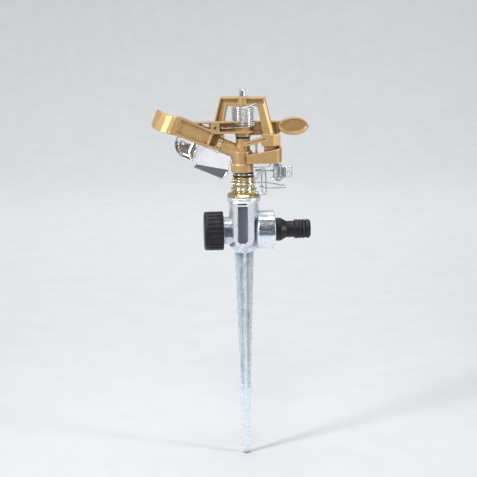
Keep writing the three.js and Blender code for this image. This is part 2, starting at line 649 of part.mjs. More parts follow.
add("deflector_flap", deflectorFlap(), chrome);
add("flap_screw", flapScrew(), steel);
add("flap_washer", flapWasher(), steel);

export default sprinkler;
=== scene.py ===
"""Visual model of an impact sprinkler on a ground spike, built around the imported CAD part.

Shapes are drawn in millimetres, in the part's own frame, and scaled to metres as they become Blender
objects. Castings are cut solids whose edges are rounded by a fine remesh; round pieces are turned from
a profile with rounded corners; wires follow smooth curves.
"""
import json
import math

import bpy
import numpy as np
from mathutils import Matrix, Vector


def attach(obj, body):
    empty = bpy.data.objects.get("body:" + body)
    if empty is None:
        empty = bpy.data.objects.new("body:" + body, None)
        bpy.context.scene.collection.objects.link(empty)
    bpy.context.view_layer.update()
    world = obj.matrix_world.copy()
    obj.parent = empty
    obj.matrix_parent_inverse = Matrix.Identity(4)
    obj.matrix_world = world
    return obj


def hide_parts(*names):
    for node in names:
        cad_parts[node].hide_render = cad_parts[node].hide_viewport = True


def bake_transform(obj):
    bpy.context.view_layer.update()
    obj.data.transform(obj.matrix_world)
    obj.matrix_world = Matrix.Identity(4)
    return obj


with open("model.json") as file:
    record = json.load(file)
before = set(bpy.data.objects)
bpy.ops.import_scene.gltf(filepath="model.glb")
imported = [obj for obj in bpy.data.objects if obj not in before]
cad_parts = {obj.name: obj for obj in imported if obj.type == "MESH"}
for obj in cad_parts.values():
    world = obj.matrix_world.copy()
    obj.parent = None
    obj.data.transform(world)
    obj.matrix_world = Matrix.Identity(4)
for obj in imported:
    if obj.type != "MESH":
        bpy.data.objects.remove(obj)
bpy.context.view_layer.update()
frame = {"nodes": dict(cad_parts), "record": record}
MM = 0.001
TAU = 2 * math.pi

# ------------------------------------------------------------------ shapes as (points, faces) pairs


def corner_arc(before, corner, after, radius, steps=4):
    """The points that round one corner of an outline."""
    a, b = np.subtract(before, corner), np.subtract(after, corner)
    la, lb = np.linalg.norm(a), np.linalg.norm(b)
    if la < 1e-6 or lb < 1e-6:
        return [tuple(corner)]
    a, b = a / la, b / lb
    angle = math.acos(float(np.clip(a @ b, -1, 1)))
    if angle > math.radians(170) or angle < math.radians(8):
        return [tuple(corner)]
    reach = min(radius / math.tan(angle / 2), 0.45 * la, 0.45 * lb)
    radius = reach * math.tan(angle / 2)
    middle = np.array(corner) + (a + b) / np.linalg.norm(a + b) * radius / math.sin(angle / 2)
    start, end = np.array(corner) + a * reach - middle, np.array(corner) + b * reach - middle
    turn = math.atan2(start[0] * end[1] - start[1] * end[0], start @ end)
    points = []
    for i in range(steps + 1):
        t = turn * i / steps
        points.append(tuple(middle + [start[0] * math.cos(t) - start[1] * math.sin(t),
                                      start[0] * math.sin(t) + start[1] * math.cos(t)]))
    return points


def rounded(outline, radius, closed=True):
    """The outline with each of its corners rounded."""
    n, points = len(outline), []
    for i, p in enumerate(outline):
        if not closed and i in (0, n - 1):
            points.append(tuple(p))
        else:
            points += corner_arc(outline[i - 1], p, outline[(i + 1) % n], radius)
    return points


def turned(profile, sides=96, soft=0.0):
    """A closed (radius, height) profile turned about the Z axis; its corners are rounded by soft."""
    if soft:
        n = len(profile)
        points = []
        for i, p in enumerate(profile):
            on_axis = p[0] < 1e-6
            points += [tuple(p)] if on_axis else corner_arc(profile[i - 1], p, profile[(i + 1) % n], soft)
        profile = points
    area = sum(a[0] * b[1] - b[0] * a[1] for a, b in zip(profile, profile[1:] + profile[:1]))
    if area < 0:
        profile = profile[::-1]
    points, rows = [], []
    for r, z in profile:
        if r < 1e-6:
            rows.append([len(points)] * sides)
            points.append((0, 0, z))
        else:
            rows.append(list(range(len(points), len(points) + sides)))
            angles = [TAU * i / sides for i in range(sides)]
            points += [(r * math.cos(a), r * math.sin(a), z) for a in angles]
    faces = []
    for low, high in zip(rows, rows[1:] + rows[:1]):
        for i in range(sides):
            j = (i + 1) % sides
            ring = [low[i], low[j], high[j], high[i]]
            face = [k for n, k in enumerate(ring) if k != ring[n - 1]]
            if len(set(face)) >= 3:
                faces.append(face)
    return points, faces


def disc(radius, bottom, top, sides=64):
    return turned([(0, bottom), (radius, bottom), (radius, top), (0, top)], sides)


def ring_of(outer, inner, bottom, top, sides=96, soft=0.15):
    return turned([(inner, bottom), (outer, bottom), (outer, top), (inner, top)], sides, soft)


def upright(outline, low, high):
    """An outline in X and Y standing from low to high."""
    area = sum(a[0] * b[1] - b[0] * a[1] for a, b in zip(outline, outline[1:] + outline[:1]))
    outline = outline if area > 0 else outline[::-1]
    n = len(outline)
    points = [(x, y, low) for x, y in outline] + [(x, y, high) for x, y in outline]
    sides = [[i, (i + 1) % n, n + (i + 1) % n, n + i] for i in range(n)]
    return points, [list(range(n))[::-1], list(range(n, 2 * n)), *sides]


def moved(shape, matrix):
    points, faces = shape
    points = [tuple(matrix @ Vector(p)) for p in points]
    return points, ([f[::-1] for f in faces] if matrix.determinant() < 0 else faces)


def turn(axis, degrees):
    return Matrix.Rotation(math.radians(degrees), 4, axis)


def shift(x, y, z):
    return Matrix.Translation((x, y, z))


def panel(outline, front, back):
    """An outline in X and Z running from front to back along Y."""
    return moved(upright(outline, -back, -front), turn("X", 90))


def box(x, y, z):
    return upright([(x[0], y[0]), (x[1], y[0]), (x[1], y[1]), (x[0], y[1])], *z)


def about_x(shape, z=0.0):
    return moved(shape, shift(0, 0, z) @ turn("Y", 90))


def about_y(shape, x, z):
    return moved(shape, shift(x, 0, z) @ turn("X", -90))


def rod(radius, start, end, sides=48):
    start, end = Vector(start), Vector(end)
    along = end - start
    spin = along.to_track_quat("Z", "Y").to_matrix().to_4x4()
    return moved(disc(radius, 0, along.length, sides), Matrix.Translation(start) @ spin)


def arc_points(cx, cy, radius, start, end, steps=24):
    angles = [math.radians(start + (end - start) * i / steps) for i in range(steps + 1)]
    return [(cx + radius * math.cos(a), cy + radius * math.sin(a)) for a in angles]


def strip(line, thickness):
    """The outline of a strip of even thickness along a centre line."""
    line = [np.array(p, float) for p in line]
    left, right = [], []
    for i, p in enumerate(line):
        along = line[min(i + 1, len(line) - 1)] - line[max(i - 1, 0)]
        along /= np.linalg.norm(along)
        side = np.array([-along[1], along[0]]) * thickness / 2
        left.append(tuple(p + side))
        right.append(tuple(p - side))
    return right + left[::-1]


def smooth_line(points, step):
    """Points at an even step along a centripetal Catmull-Rom curve through the given ones."""
    p = [np.array(q, float) for q in points]
    p = [2 * p[0] - p[1], *p, 2 * p[-1] - p[-2]]
    fine = []
    for a, b, c, d in zip(p, p[1:], p[2:], p[3:]):
        t = [0.0]
        for u, v in ((a, b), (b, c), (c, d)):
            t.append(t[-1] + max(np.linalg.norm(v - u), 1e-6) ** 0.5)
        for s in np.linspace(t[1], t[2], 24, endpoint=False):
            ab = (t[1] - s) / (t[1] - t[0]) * a + (s - t[0]) / (t[1] - t[0]) * b
            bc = (t[2] - s) / (t[2] - t[1]) * b + (s - t[1]) / (t[2] - t[1]) * c
            cd = (t[3] - s) / (t[3] - t[2]) * c + (s - t[2]) / (t[3] - t[2]) * d
            abc = (t[2] - s) / (t[2] - t[0]) * ab + (s - t[0]) / (t[2] - t[0]) * bc
            bcd = (t[3] - s) / (t[3] - t[1]) * bc + (s - t[1]) / (t[3] - t[1]) * cd
            fine.append((t[2] - s) / (t[2] - t[1]) * abc + (s - t[1]) / (t[2] - t[1]) * bcd)
    fine.append(p[-2])
    fine = np.array(fine)
    length = np.concatenate([[0], np.cumsum(np.linalg.norm(np.diff(fine, axis=0), axis=1))])
    at = np.linspace(0, length[-1], max(int(length[-1] / step), 4) + 1)
    return np.stack([np.interp(at, length, fine[:, k]) for k in range(3)], axis=1)


def bands(sides, rings, base=0):
    """The faces between rings of points that follow one another."""
    faces = []
    for k in range(rings - 1):
        low, high = base + k * sides, base + (k + 1) * sides
        for i in range(sides):
            j = (i + 1) % sides
            faces.append([low + i, low + j, high + j, high + i])
    return faces


def wire(points, radius, step=0.5, sides=16):
    """Round wire along a smooth curve, with slightly flattened domes for ends."""
    flatten = 0.6
    line = smooth_line(points, step)
    ahead = np.gradient(line, axis=0)
    ahead /= np.linalg.norm(ahead, axis=1)[:, None]
    side = np.cross(ahead[0], [0, 0, 1] if abs(ahead[0][2]) < 0.9 else [1, 0, 0])
    frames = []
    for a in ahead:
        side = side - a * (side @ a)
        side /= np.linalg.norm(side)
        frames.append((a, side, np.cross(a, side)))
    dome = [(-math.cos(a), math.sin(a)) for a in np.linspace(0.25, math.pi / 2, 4)]
    rings = [(line[0], frames[0], along, size) for along, size in dome]
    rings += [(p, f, 0, 1) for p, f in zip(line[1:-1], frames[1:-1])]
    rings += [(line[-1], frames[-1], -along, size) for along, size in dome[::-1]]
    out = []
    for centre, (a, s, t), along, size in rings:
        for i in range(sides):
            w = TAU * i / sides
            across = s * math.cos(w) + t * math.sin(w)
            out.append(tuple(centre + radius * (a * along * flatten + size * across)))
    last = (len(rings) - 1) * sides
    ends = [list(range(sides))[::-1], [last + i for i in range(sides)]]
    return out, bands(sides, len(rings)) + ends


def helix(radius, start, end, z0, z1, count):
    out = []
    for i in range(count + 1):
        t = i / count
        a = math.radians(start + (end - start) * t)
        out.append((radius * math.cos(a), radius * math.sin(a), z0 + (z1 - z0) * t))
    return out


# The jet's frame: X along the barrel away from the head's axis, Y to the front, Z upwards. The barrel
# starts at its height on that axis and rises to the left by its slant in degrees.
JET_HEIGHT = 86.3
JET_SLANT = 24
JET = shift(0, 0, JET_HEIGHT) @ turn("Y", JET_SLANT) @ turn("Z", 180)


def in_jet(shape):
    return moved(shape, JET)


# ------------------------------------------------------------------ Blender objects


def mesh_object(name, *shapes):
    """One object from shapes in millimetres, with every face turned outwards."""
    points, faces = [], []
    for p, f in shapes:
        base = len(points)
        points += p
        faces += [[base + k for k in face] for face in f]
    mesh = bpy.data.meshes.new(name)
    mesh.from_pydata([[c * MM for c in p] for p in points], [], faces)
    mesh.validate()
    obj = bpy.data.objects.new(name, mesh)
    bpy.context.scene.collection.objects.link(obj)
    bpy.context.view_layer.objects.active = obj
    for other in bpy.context.selected_objects:
        other.select_set(False)
    obj.select_set(True)
    bpy.ops.object.mode_set(mode="EDIT")
    bpy.ops.mesh.select_all(action="SELECT")
    bpy.ops.mesh.normals_make_consistent(inside=False)
    bpy.ops.object.mode_set(mode="OBJECT")
    return obj


def settle(obj):
    """Applies the object's modifiers."""
    bpy.context.view_layer.update()
    graph = bpy.context.evaluated_depsgraph_get()
    mesh = bpy.data.meshes.new_from_object(obj.evaluated_get(graph))
    obj.modifiers.clear()
    old, obj.data = obj.data, mesh
    bpy.data.meshes.remove(old)
    mesh.name = obj.name
    return obj


def carved(name, adds, cuts=()):
    """A solid: the adds joined, then the cuts taken away."""
    obj = mesh_object(name, adds[0])
    spare = []
    for kind, shapes in (("UNION", adds[1:]), ("DIFFERENCE", cuts)):
        for i, shape in enumerate(shapes):
            tool = mesh_object(f"{name}_{kind}_{i}", shape)
            modifier = obj.modifiers.new(kind, "BOOLEAN")
            modifier.operation, modifier.object, modifier.solver = kind, tool, "MANIFOLD"
            spare.append(tool)
    settle(obj)
    for tool in spare:
        bpy.data.objects.remove(tool)
    return obj


def as_shape(obj):
    """A carved tool object back to a shape in millimetres; the object goes."""
    points = [tuple(v.co / MM) for v in obj.data.vertices]
    faces = [list(p.vertices) for p in obj.data.polygons]
    bpy.data.objects.remove(obj)
    return points, faces


def cast(name, adds, cuts=(), voxel=0.34, softness=5):
    """A carved solid with the rounded edges of a casting or of stamped sheet."""
    obj = carved(name, adds, cuts)
    remesh = obj.modifiers.new("remesh", "REMESH")
    remesh.mode, remesh.voxel_size = "VOXEL", voxel * MM * 1
    smooth = obj.modifiers.new("smooth", "SMOOTH")
    smooth.factor, smooth.iterations = 0.5, softness
    settle(obj)
    obj.data.shade_smooth()
    return obj


def crisp(name, *shapes, angle=35):
    """An object whose faces are smooth except across sharp edges."""
    obj = mesh_object(name, *shapes)
    obj.data.shade_smooth()
    obj.data.set_sharp_from_angle(angle=math.radians(angle))
    return obj


def place(obj, body, slot, *nodes):
    """The piece gets its material, rides on its body and stands for its CAD nodes."""
    obj.data.materials.clear()
    obj.data.materials.append(MATERIALS[slot])
    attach(obj, body)
    if nodes:
        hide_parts(*nodes)
    return obj


def crisp_piece(node, body, slot, shape, angle=35):
    """A piece with smooth faces and sharp edges, which stands for its CAD node."""
    place(crisp("sprinkler_" + node, shape, angle=angle), body, slot, node)


# ------------------------------------------------------------------ materials


class Nodes:
    """Short names for building a node tree."""

    def __init__(self, name):
        self.material = bpy.data.materials.new(name)
        self.material.use_nodes = True
        self.tree = self.material.node_tree
        self.shader = self.tree.nodes["Principled BSDF"]

    def new(self, kind, inputs=(), **settings):
        node = self.tree.nodes.new(kind)
        for key, value in settings.items():
            setattr(node, key, value)
        for key, value in dict(inputs).items():
            self.put(node, key, value)
        return node

    def put(self, node, key, value):
        if isinstance(value, bpy.types.NodeSocket):
            self.tree.links.new(value, node.inputs[key])
        else:
            node.inputs[key].default_value = value

    def noise(self, scale, detail=4, rough=0.6, stretch=(1, 1, 1)):
        at = self.new("ShaderNodeTexCoord").outputs["Object"]
        mapping = self.new("ShaderNodeMapping", {"Vector": at, "Scale": stretch})
        inputs = {"Vector": mapping.outputs[0], "Scale": scale, "Detail": detail, "Roughness": rough}
        return self.new("ShaderNodeTexNoise", inputs).outputs["Fac"]

    def cells(self, scale):
        """A colour of its own for each crystal-like cell."""
        at = self.new("ShaderNodeTexCoord").outputs["Object"]
        return self.new("ShaderNodeTexVoronoi", {"Vector": at, "Scale": scale}).outputs["Color"]

    def ramp(self, value, stops):
        """Stops are (position, grey value or colour)."""
        node = self.new("ShaderNodeValToRGB", {"Fac": value})
        ramp = node.color_ramp
        while len(ramp.elements) < len(stops):
            ramp.elements.new(0.5)
        for element, (position, colour) in zip(ramp.elements, stops):
            grey = isinstance(colour, (int, float))
            element.position = position
            element.color = (colour, colour, colour, 1) if grey else (*colour, 1)
        return node.outputs["Color"]

    def mix(self, factor, a, b, blend="MIX"):
        node = self.new("ShaderNodeMix", data_type="RGBA", blend_type=blend)
        self.put(node, 0, factor)
        for index, value in ((6, a), (7, b)):
            self.put(node, index, value if isinstance(value, bpy.types.NodeSocket) else (*value, 1))
        return node.outputs[2]

    def math(self, operation, a, b=0.0):
        node = self.new("ShaderNodeMath", operation=operation)
        self.put(node, 0, a)
        self.put(node, 1, b)
        return node.outputs[0]

    def most(self, first, *others):
        """The largest of the values."""
        for other in others:
            first = self.math("MAXIMUM", first, other)
        return first

    def inside(self, x, y, z, soft=0.25, slant=0):
        """1 inside a box in millimetres and 0 outside, with a soft border; a slant leans the box."""
        at = self.new("ShaderNodeTexCoord").outputs["Object"]
        if slant:
            lean = {"Vector": at, "Center": (0, 0, JET_HEIGHT * MM), "Angle": math.radians(slant)}
            at = self.new("ShaderNodeVectorRotate", lean, rotation_type="Y_AXIS").outputs[0]
        split = self.new("ShaderNodeSeparateXYZ", {0: at})
        result = 1.0
        for axis, (low, high) in zip("XYZ", (x, y, z)):
            for a, b in ((low - soft, low + soft), (high + soft, high - soft)):
                border = {"Value": split.outputs[axis], "From Min": a * MM, "From Max": b * MM}
                step = self.new("ShaderNodeMapRange", border).outputs[0]
                result = self.math("MULTIPLY", result, step)
        return result

    def nooks(self, reach, depth):
        """1 in the open, falling to depth in corners and recesses within reach, in millimetres: a mask for
        painted shade.
        """
        shade = self.new("ShaderNodeAmbientOcclusion", {"Distance": reach * MM}, samples=12)
        return self.ramp(shade.outputs["AO"], [(0.25, depth), (0.85, 1.0)])

    def edges(self, low, high):
        """0 on flats, 1 on outer edges, from how the surface bends."""
        bend = self.new("ShaderNodeNewGeometry").outputs["Pointiness"]
        return self.ramp(bend, [(low, 0.0), (high, 1.0)])

    def bump(self, *layers):
        """Layers of (height, strength, distance in mm)."""
        normal = None
        for height, strength, distance in layers:
            inputs = {"Height": height, "Strength": strength, "Distance": distance * MM}
            node = self.new("ShaderNodeBump", inputs)
            if normal:
                self.put(node, "Normal", normal)
            normal = node.outputs["Normal"]
        self.put(self.shader, "Normal", normal)

    def finish(self, **values):
        for key, value in values.items():
            self.put(self.shader, key.replace("_", " "), value)
        return self.material


def gold_casting():
    """Gold paint over a grainy zinc casting: sandy bump, pale edges that are worn and carry a painted
    highlight, and painted shade in crevices, nooks, the dish, the spring channel and the window by the
    nozzle.
    """
    m = Nodes("gold_casting")
    sand = m.noise(2300, 3, 0.7)
    broad = m.noise(130, 5, 0.6)
    base = m.mix(m.ramp(broad, [(0.3, 0.0), (0.7, 1.0)]), (0.49, 0.298, 0.106), (0.60, 0.382, 0.150))
    fleck = m.mix(m.ramp(sand, [(0.45, 0.0), (0.65, 0.8)]), base, (0.68, 0.50, 0.28))
    bend = m.new("ShaderNodeNewGeometry").outputs["Pointiness"]
    # Pale edges: paint wear, and a painted highlight on the rounded edges.
    wear_and_painted_light = m.mix(m.ramp(bend, [(0.52, 0.0), (0.58, 0.7)]), fleck, (0.92, 0.78, 0.58))
    # Painted shade: crevices darkened where the surface bends inwards.
    crevice_shade = m.mix(m.ramp(bend, [(0.42, 0.8), (0.485, 0.0)]), wear_and_painted_light, (0.15, 0.075, 0.022))
    m.bump((sand, 0.35, 0.22), (m.noise(520, 4, 0.6), 0.20, 0.4))
    # Painted shade on the dish's floor, in the spring channel and in the window behind the nozzle.
    dish_shade_mask = m.math("MULTIPLY", m.inside((32, 57.5), (-1.6, 3), (103, 117.5), 0.6), 0.45)
    channel = m.inside((-21, -7), (-9.5, -8.5), (108, 115.2), 0.3)
    window = m.inside((-31, -25), (-7.2, -4), (JET_HEIGHT - 3, JET_HEIGHT + 8), 0.3, slant=-JET_SLANT)
    shadow = m.math("MULTIPLY", m.most(channel, window), 0.75)
    floor_shade = m.mix(shadow, m.mix(dish_shade_mask, (1.0, 1.0, 1.0), (0.62, 0.46, 0.34)), (0.34, 0.25, 0.18))
    # Painted shade in nooks, from ambient occlusion.
    nook_shade = m.mix(m.nooks(5, 0.0), (0.24, 0.15, 0.07), floor_shade)
    shaded = m.mix(1.0, crevice_shade, nook_shade, "MULTIPLY")
    return m.finish(Base_Color=shaded, Metallic=0.45, Roughness=m.ramp(sand, [(0.35, 0.28), (0.65, 0.44)]))


def zinc_casting():
    """Galvanised zinc: a blue-white coat with faint crystals, pits and dull blotches, painted highlights on
    the pad, collar, hub underside and blade, a painted dark reflection over streaks on the hub's and neck's
    belts, and painted shade in nooks and in the rougher pocket and slot.
    """
    m = Nodes("zinc_casting")
    tone = m.ramp(m.cells(520), [(0.1, (0.72, 0.82, 0.90)), (0.9, (0.82, 0.91, 0.98))])
    blotch = m.noise(190, 7, 0.75, (1, 1, 0.4))
    upper = m.inside((-60, 60), (-60, 60), (-92, 90), 24)
    blotched = m.math("ADD", m.math("MULTIPLY", upper, 0.75), 0.25)
    stain = m.math("MULTIPLY", m.ramp(blotch, [(0.50, 0.0), (0.64, 0.8)]), blotched)
    dull = m.mix(stain, tone, (0.27, 0.33, 0.38))
    grain = m.noise(1900, 4, 0.7)
    pit = m.mix(m.ramp(grain, [(0.30, 0.6), (0.40, 0.0)]), dull, (0.15, 0.18, 0.22))
    # Painted highlight: the pad, collar, hub underside and lower blade made brighter.
    pad = m.inside((-10.6, 8.2), (-17.4, -16.4), (4, 46.5), 0.2)
    collar = m.inside((-16, 16), (-16, 16), (46.2, 50), 0.4)
    hub_underside = m.inside((11.2, 27.6), (-30, 30), (-2, 15.4), 0.6)
    lower_blade = m.math("MULTIPLY", m.inside((-10, 10), (-10, 10), (-220, -132), 9), 0.35)
    painted_sheen = m.most(pad, collar, hub_underside, lower_blade)
    bright = m.mix(m.math("MULTIPLY", painted_sheen, 0.7), pit, (0.96, 0.98, 1.0))
    edge = m.mix(m.edges(0.535, 0.60), bright, (0.95, 0.98, 1.0))
    # Painted shade: the pocket and slot are painted dark.
    coarse = m.ramp(m.noise(1300, 5, 0.75), [(0.42, 0.0), (0.62, 1.0)])
    recess_shade = m.mix(coarse, (0.07, 0.08, 0.10), (0.34, 0.37, 0.43))
    # Painted dark reflection, with streaks, over the hub's and neck's belts.
    hub_belt = m.inside((12.4, 26.4), (-30, -11.5), (16.4, 29.5), 0.4)
    neck_belt = m.inside((-17.6, -6.0), (-12.6, -8), (14.5, 25.4), 0.6)
    belts = m.most(hub_belt, neck_belt)
    streaks = m.ramp(m.noise(520, 6, 0.7, (0.4, 1, 1.3)), [(0.42, 0.0), (0.66, 1.0)])
    streaked_dark_reflection = m.mix(streaks, (0.085, 0.095, 0.11), (0.34, 0.38, 0.42))
    recess = m.inside((-6.35, 2.35), (-16.3, -10), (9, 42.3))
    slot = m.inside((-6.2, 1.9), (-16.3, -10), (43.6, 45.0))
    hidden = m.most(recess, slot)
    m.bump((grain, 0.18, 0.2), (m.noise(260, 4, 0.6), 0.22, 0.5))
    wear_and_painted_light = m.mix(m.math("MULTIPLY", belts, 0.92), edge, streaked_dark_reflection)
    # Painted shade in nooks, from ambient occlusion.
    shaded = m.mix(1.0, wear_and_painted_light, m.mix(m.nooks(6, 0.0), (0.10, 0.13, 0.16), (1.0, 1.0, 1.0)), "MULTIPLY")
    haze = m.most(m.ramp(blotch, [(0.35, 0.17), (0.70, 0.42)]), m.math("MULTIPLY", hidden, 0.55))
    return m.finish(Base_Color=m.mix(hidden, shaded, recess_shade), Metallic=0.62, Roughness=haze)


def brass():
    """Turned brass: fine rings of tool marks, warmer and darker where it has tarnished."""
    m = Nodes("brass")
    rings = m.noise(900, 2, 0.5, (0.03, 0.03, 1))
    stain = m.noise(240, 5, 0.65)
    tone = m.mix(m.ramp(stain, [(0.35, 0.0), (0.75, 1.0)]), (0.93, 0.79, 0.47), (0.72, 0.54, 0.26))
    m.bump((rings, 0.15, 0.12), (m.noise(1500, 3, 0.6), 0.05, 0.1))
    return m.finish(Base_Color=tone, Metallic=1.0, Roughness=m.ramp(stain, [(0.3, 0.15), (0.8, 0.32)]))


def spring_steel():
    """Plated steel: bright, with fine scratches and a little grey haze."""
    m = Nodes("spring_steel")
    haze = m.noise(700, 5, 0.65)
    tone = m.mix(m.ramp(haze, [(0.4, 0.0), (0.7, 1.0)]), (0.84, 0.84, 0.86), (0.55, 0.56, 0.58))
    m.bump((m.noise(3200, 3, 0.6, (1, 1, 0.2)), 0.10, 0.08),)
    return m.finish(Base_Color=tone, Metallic=1.0, Roughness=m.ramp(haze, [(0.3, 0.12), (0.75, 0.28)]))


def chrome_sheet():
    """Polished chrome-plated sheet with the soft waves of pressed metal."""
    m = Nodes("chrome_sheet")
    haze = m.noise(300, 4, 0.6)
    tone = m.mix(m.ramp(haze, [(0.45, 0.0), (0.75, 1.0)]), (0.90, 0.90, 0.93), (0.74, 0.75, 0.79))
    m.bump((m.noise(60, 2, 0.5), 0.04, 1.0), (m.noise(2600, 3, 0.6, (1, 0.1, 1)), 0.03, 0.05))
    return m.finish(Base_Color=tone, Metallic=1.0, Roughness=m.ramp(haze, [(0.3, 0.05), (0.8, 0.14)]))


def black_plastic():
    """Moulded plastic, near black with a violet cast, a fine grain and dusty edges."""
    m = Nodes("black_plastic")
    grain = m.noise(1800, 4, 0.65)
    cloud = m.noise(120, 4, 0.6)
    tone = m.mix(m.ramp(cloud, [(0.3, 0.0), (0.75, 1.0)]), (0.010, 0.009, 0.012), (0.020, 0.018, 0.024))
    edge = m.mix(m.edges(0.54, 0.62), tone, (0.05, 0.048, 0.056))
    m.bump((grain, 0.12, 0.12),)
    satin = m.ramp(grain, [(0.3, 0.30), (0.7, 0.44)])
    return m.finish(Base_Color=edge, Roughness=satin, Specular_IOR_Level=0.32)


def black_rubber():
    """Matt black rubber with a fine grain."""
    m = Nodes("black_rubber")
    grain = m.noise(2400, 4, 0.7)
    tone = m.mix(m.ramp(grain, [(0.3, 0.0), (0.7, 1.0)]), (0.010, 0.010, 0.011), (0.022, 0.021, 0.022))
    m.bump((grain, 0.15, 0.1),)
    return m.finish(Base_Color=tone, Roughness=m.ramp(grain, [(0.3, 0.45), (0.7, 0.62)]))


def white_nylon():
    """Off-white nylon, slightly cloudy."""
    m = Nodes("white_nylon")
    cloud = m.noise(300, 4, 0.6)
    tone = m.mix(m.ramp(cloud, [(0.3, 0.0), (0.75, 1.0)]), (0.78, 0.76, 0.70), (0.88, 0.87, 0.83))
    m.bump((m.noise(2000, 3, 0.6), 0.08, 0.1),)
    return m.finish(Base_Color=tone, Roughness=m.ramp(cloud, [(0.3, 0.40), (0.8, 0.55)]))


FINISHES = (gold_casting, zinc_casting, brass, spring_steel, chrome_sheet, black_plastic, black_rubber,
            white_nylon)
MATERIALS = {make.__name__: make() for make in FINISHES}

for part in frame["record"]["subparts"]:
    node = frame["nodes"][part["node"]]
    node.data.materials.clear()
    node.data.materials.append(MATERIALS[part["material_slot"]])
    node.data.set_sharp_from_angle(angle=math.radians(30))

# ------------------------------------------------------------------ spike and its fittings

WATER = 18.1  # height of the inlet's axis


def blade_parts():
    """The crossed blade down to its rounded tip, with the thicker point and the small nub on it."""
    half, thick, tip_height, tip_radius = 1.2, 2.4, -187.9, 3.1
    tip = arc_points(0, tip_height, tip_radius, 180, 360, 16)
    blade = [(8.4, 0), (8.4, 4), (-8.4, 4), (-8.4, 0), (-5.2, -112), *tip, (5.2, -112)]
    rib = [(8.4, 4), (-8.4, 4), (-8.4, 0), (-5.2, -112), (-2.4, -137), (2.4, -137), (5.2, -112), (8.4, 0)]
    point = [(4.1, -125), (-4.1, -125), *arc_points(0, tip_height, tip_radius - 0.2, 180, 360, 16)]
    nub = box((-4.7, -3.2), (-0.9, 0.9), (-167, -165.4))
    return [panel(blade, -half, half), moved(panel(rib, -half, half), turn("Z", 90)),
            panel(point, -thick, thick), nub]


def spike_base():
    barrel = turned([(0, -1.2), (8.2, -1.2), (13.2, 4.5), (13.2, 44.0), (15.4, 45.6), (15.4, 48.6),
                     (14.6, 49.4), (0, 49.4)], 128, 0.6)
    pad = [(8.0, 45.9), (-10.4, 45.9), *arc_points(-1.2, 14.8, 9.2, 180, 360, 32)]
    hub = turned([(0, 8), (13, 8), (16.2, 11), (17.2, 12), (17.2, 26.4), (16.4, 27.2), (0, 27.2)], 128, 0.5)
    neck = turned([(0, -31.4), (12.2, -31.4), (13, -30.6), (13, -18.8), (12, -18.8), (12, -6), (0, -6)],
                  128, 0.3)
    pocket = [(2.4, 42.2), (-6.4, 42.2), *arc_points(-3.8, 11.6, 2.6, 180, 270, 8),
              *arc_points(-0.2, 11.6, 2.6, 270, 360, 8)]
    marks = [rod(0.75, (x, -4, z), (x, -1.7, z), 24) for x in (-2.5, 2.5) for z in (-126.6, -129.8)]
    adds = [barrel, panel(pad, -16.8, -8), about_x(hub, WATER), about_x(neck, WATER), *blade_parts()]
    cuts = [
        panel(pocket, -17.8, -13.8),
        box((-6.2, 1.9), (-17.8, -14.8), (43.6, 45.0)),
        disc(10.75, 37.25, 60, 96),
        disc(13.1, 47.8, 60, 96),
        disc(9.3, WATER, 39),
        about_x(disc(13.0, 19.6, 40, 96), WATER),
        about_x(disc(8.6, -36.4, 30), WATER),
        *marks,
    ]
    body = cast("sprinkler_spike_base", adds, cuts, voxel=0.36, softness=8)
    place(body, "base", "zinc_casting", "spike_base")


def outlet_cap():
    """The cap's wall as rows of a ribbed surface, with a smooth rim at its far end and a bore inside."""
    outer, ribs = 17.2, 24
    sides = ribs * 20

    def groove(angle, depth):
        """How far the surface lies below the ribs' crests, with steep flanks between rib and groove."""
        phase = (angle * ribs / TAU) % 1
        rise = 1 / (1 + math.exp(-40 * (0.27 - abs(phase - 0.5))))
        return depth * (1 - rise)

    far_end = [(0.0, -35.6, 0), (14.6, -35.6, 0), (15.6, -35.5, 0), (16.4, -35.2, 0), (16.9, -34.8, 0),
               (outer, -34.2, 0), (outer, -32.1, 0)]
    ribbed = [(17.15, -31.8, 0.15), (outer, -31.5, 0.6), (outer, -31.2, 0.75), (outer, -25, 0.75),
              (outer, -19.3, 0.75), (17.0, -18.8, 0.75), (16.7, -18.55, 0.6), (16.2, -18.5, 0.1)]
    bore = [(13.8, -18.5, 0), (13.45, -18.7, 0), (13.35, -19, 0), (13.35, -32.8, 0), (13.2, -33, 0),
            (0.0, -33.0, 0)]
    rows = far_end + ribbed + bore
    points, faces, starts = [], [], []
    for size, x, depth in rows:
        starts.append(len(points))
        if size == 0:
            points.append((x, 0, WATER))
            continue
        for i in range(sides):
            a = TAU * i / sides
            r = size - groove(a, depth)
            points.append((x, r * math.cos(a), WATER + r * math.sin(a)))
    for k in range(len(rows) - 1):
        low, high = starts[k], starts[k + 1]
        low_step, high_step = int(rows[k][0] > 0), int(rows[k + 1][0] > 0)
        for i in range(sides):
            j = (i + 1) % sides
            ring = [low + i * low_step, low + j * low_step, high + j * high_step, high + i * high_step]
            faces.append([v for n, v in enumerate(ring) if v != ring[n - 1]])
    crisp_piece("outlet_cap", "cap", "black_plastic", (points, faces), 50)


def fittings():
    """The hose tail: thread and shoulder in the hub, waist, ridges, O-ring groove and end ring."""
    connector = turned([
        (5.4, 20.9), (12.6, 20.9), (12.6, 27.5), (10.3, 27.9), (10.3, 32.6), (7.4, 37.4), (7.35, 44.2),
        (8.5, 45.2), (8.5, 48.4), (7.9, 48.8), (8.4, 49.3), (8.4, 51.0), (6.5, 51.2), (6.5, 54.5),
        (8.3, 54.7), (8.4, 57.6), (7.2, 58.9), (5.4, 58.9)], 128, 0.35)
    crisp_piece("hose_connector", "base", "black_plastic", about_x(connector, WATER), 50)
    angles = np.linspace(0, TAU, 24, endpoint=False)
    o_ring = turned([(7.55 + 0.95 * math.cos(a), 52.85 + 1.25 * math.sin(a)) for a in angles], 96)
    crisp_piece("connector_o_ring", "base", "black_rubber", about_x(o_ring, WATER))


spike_base()
outlet_cap()
fittings()

# ------------------------------------------------------------------ bearing


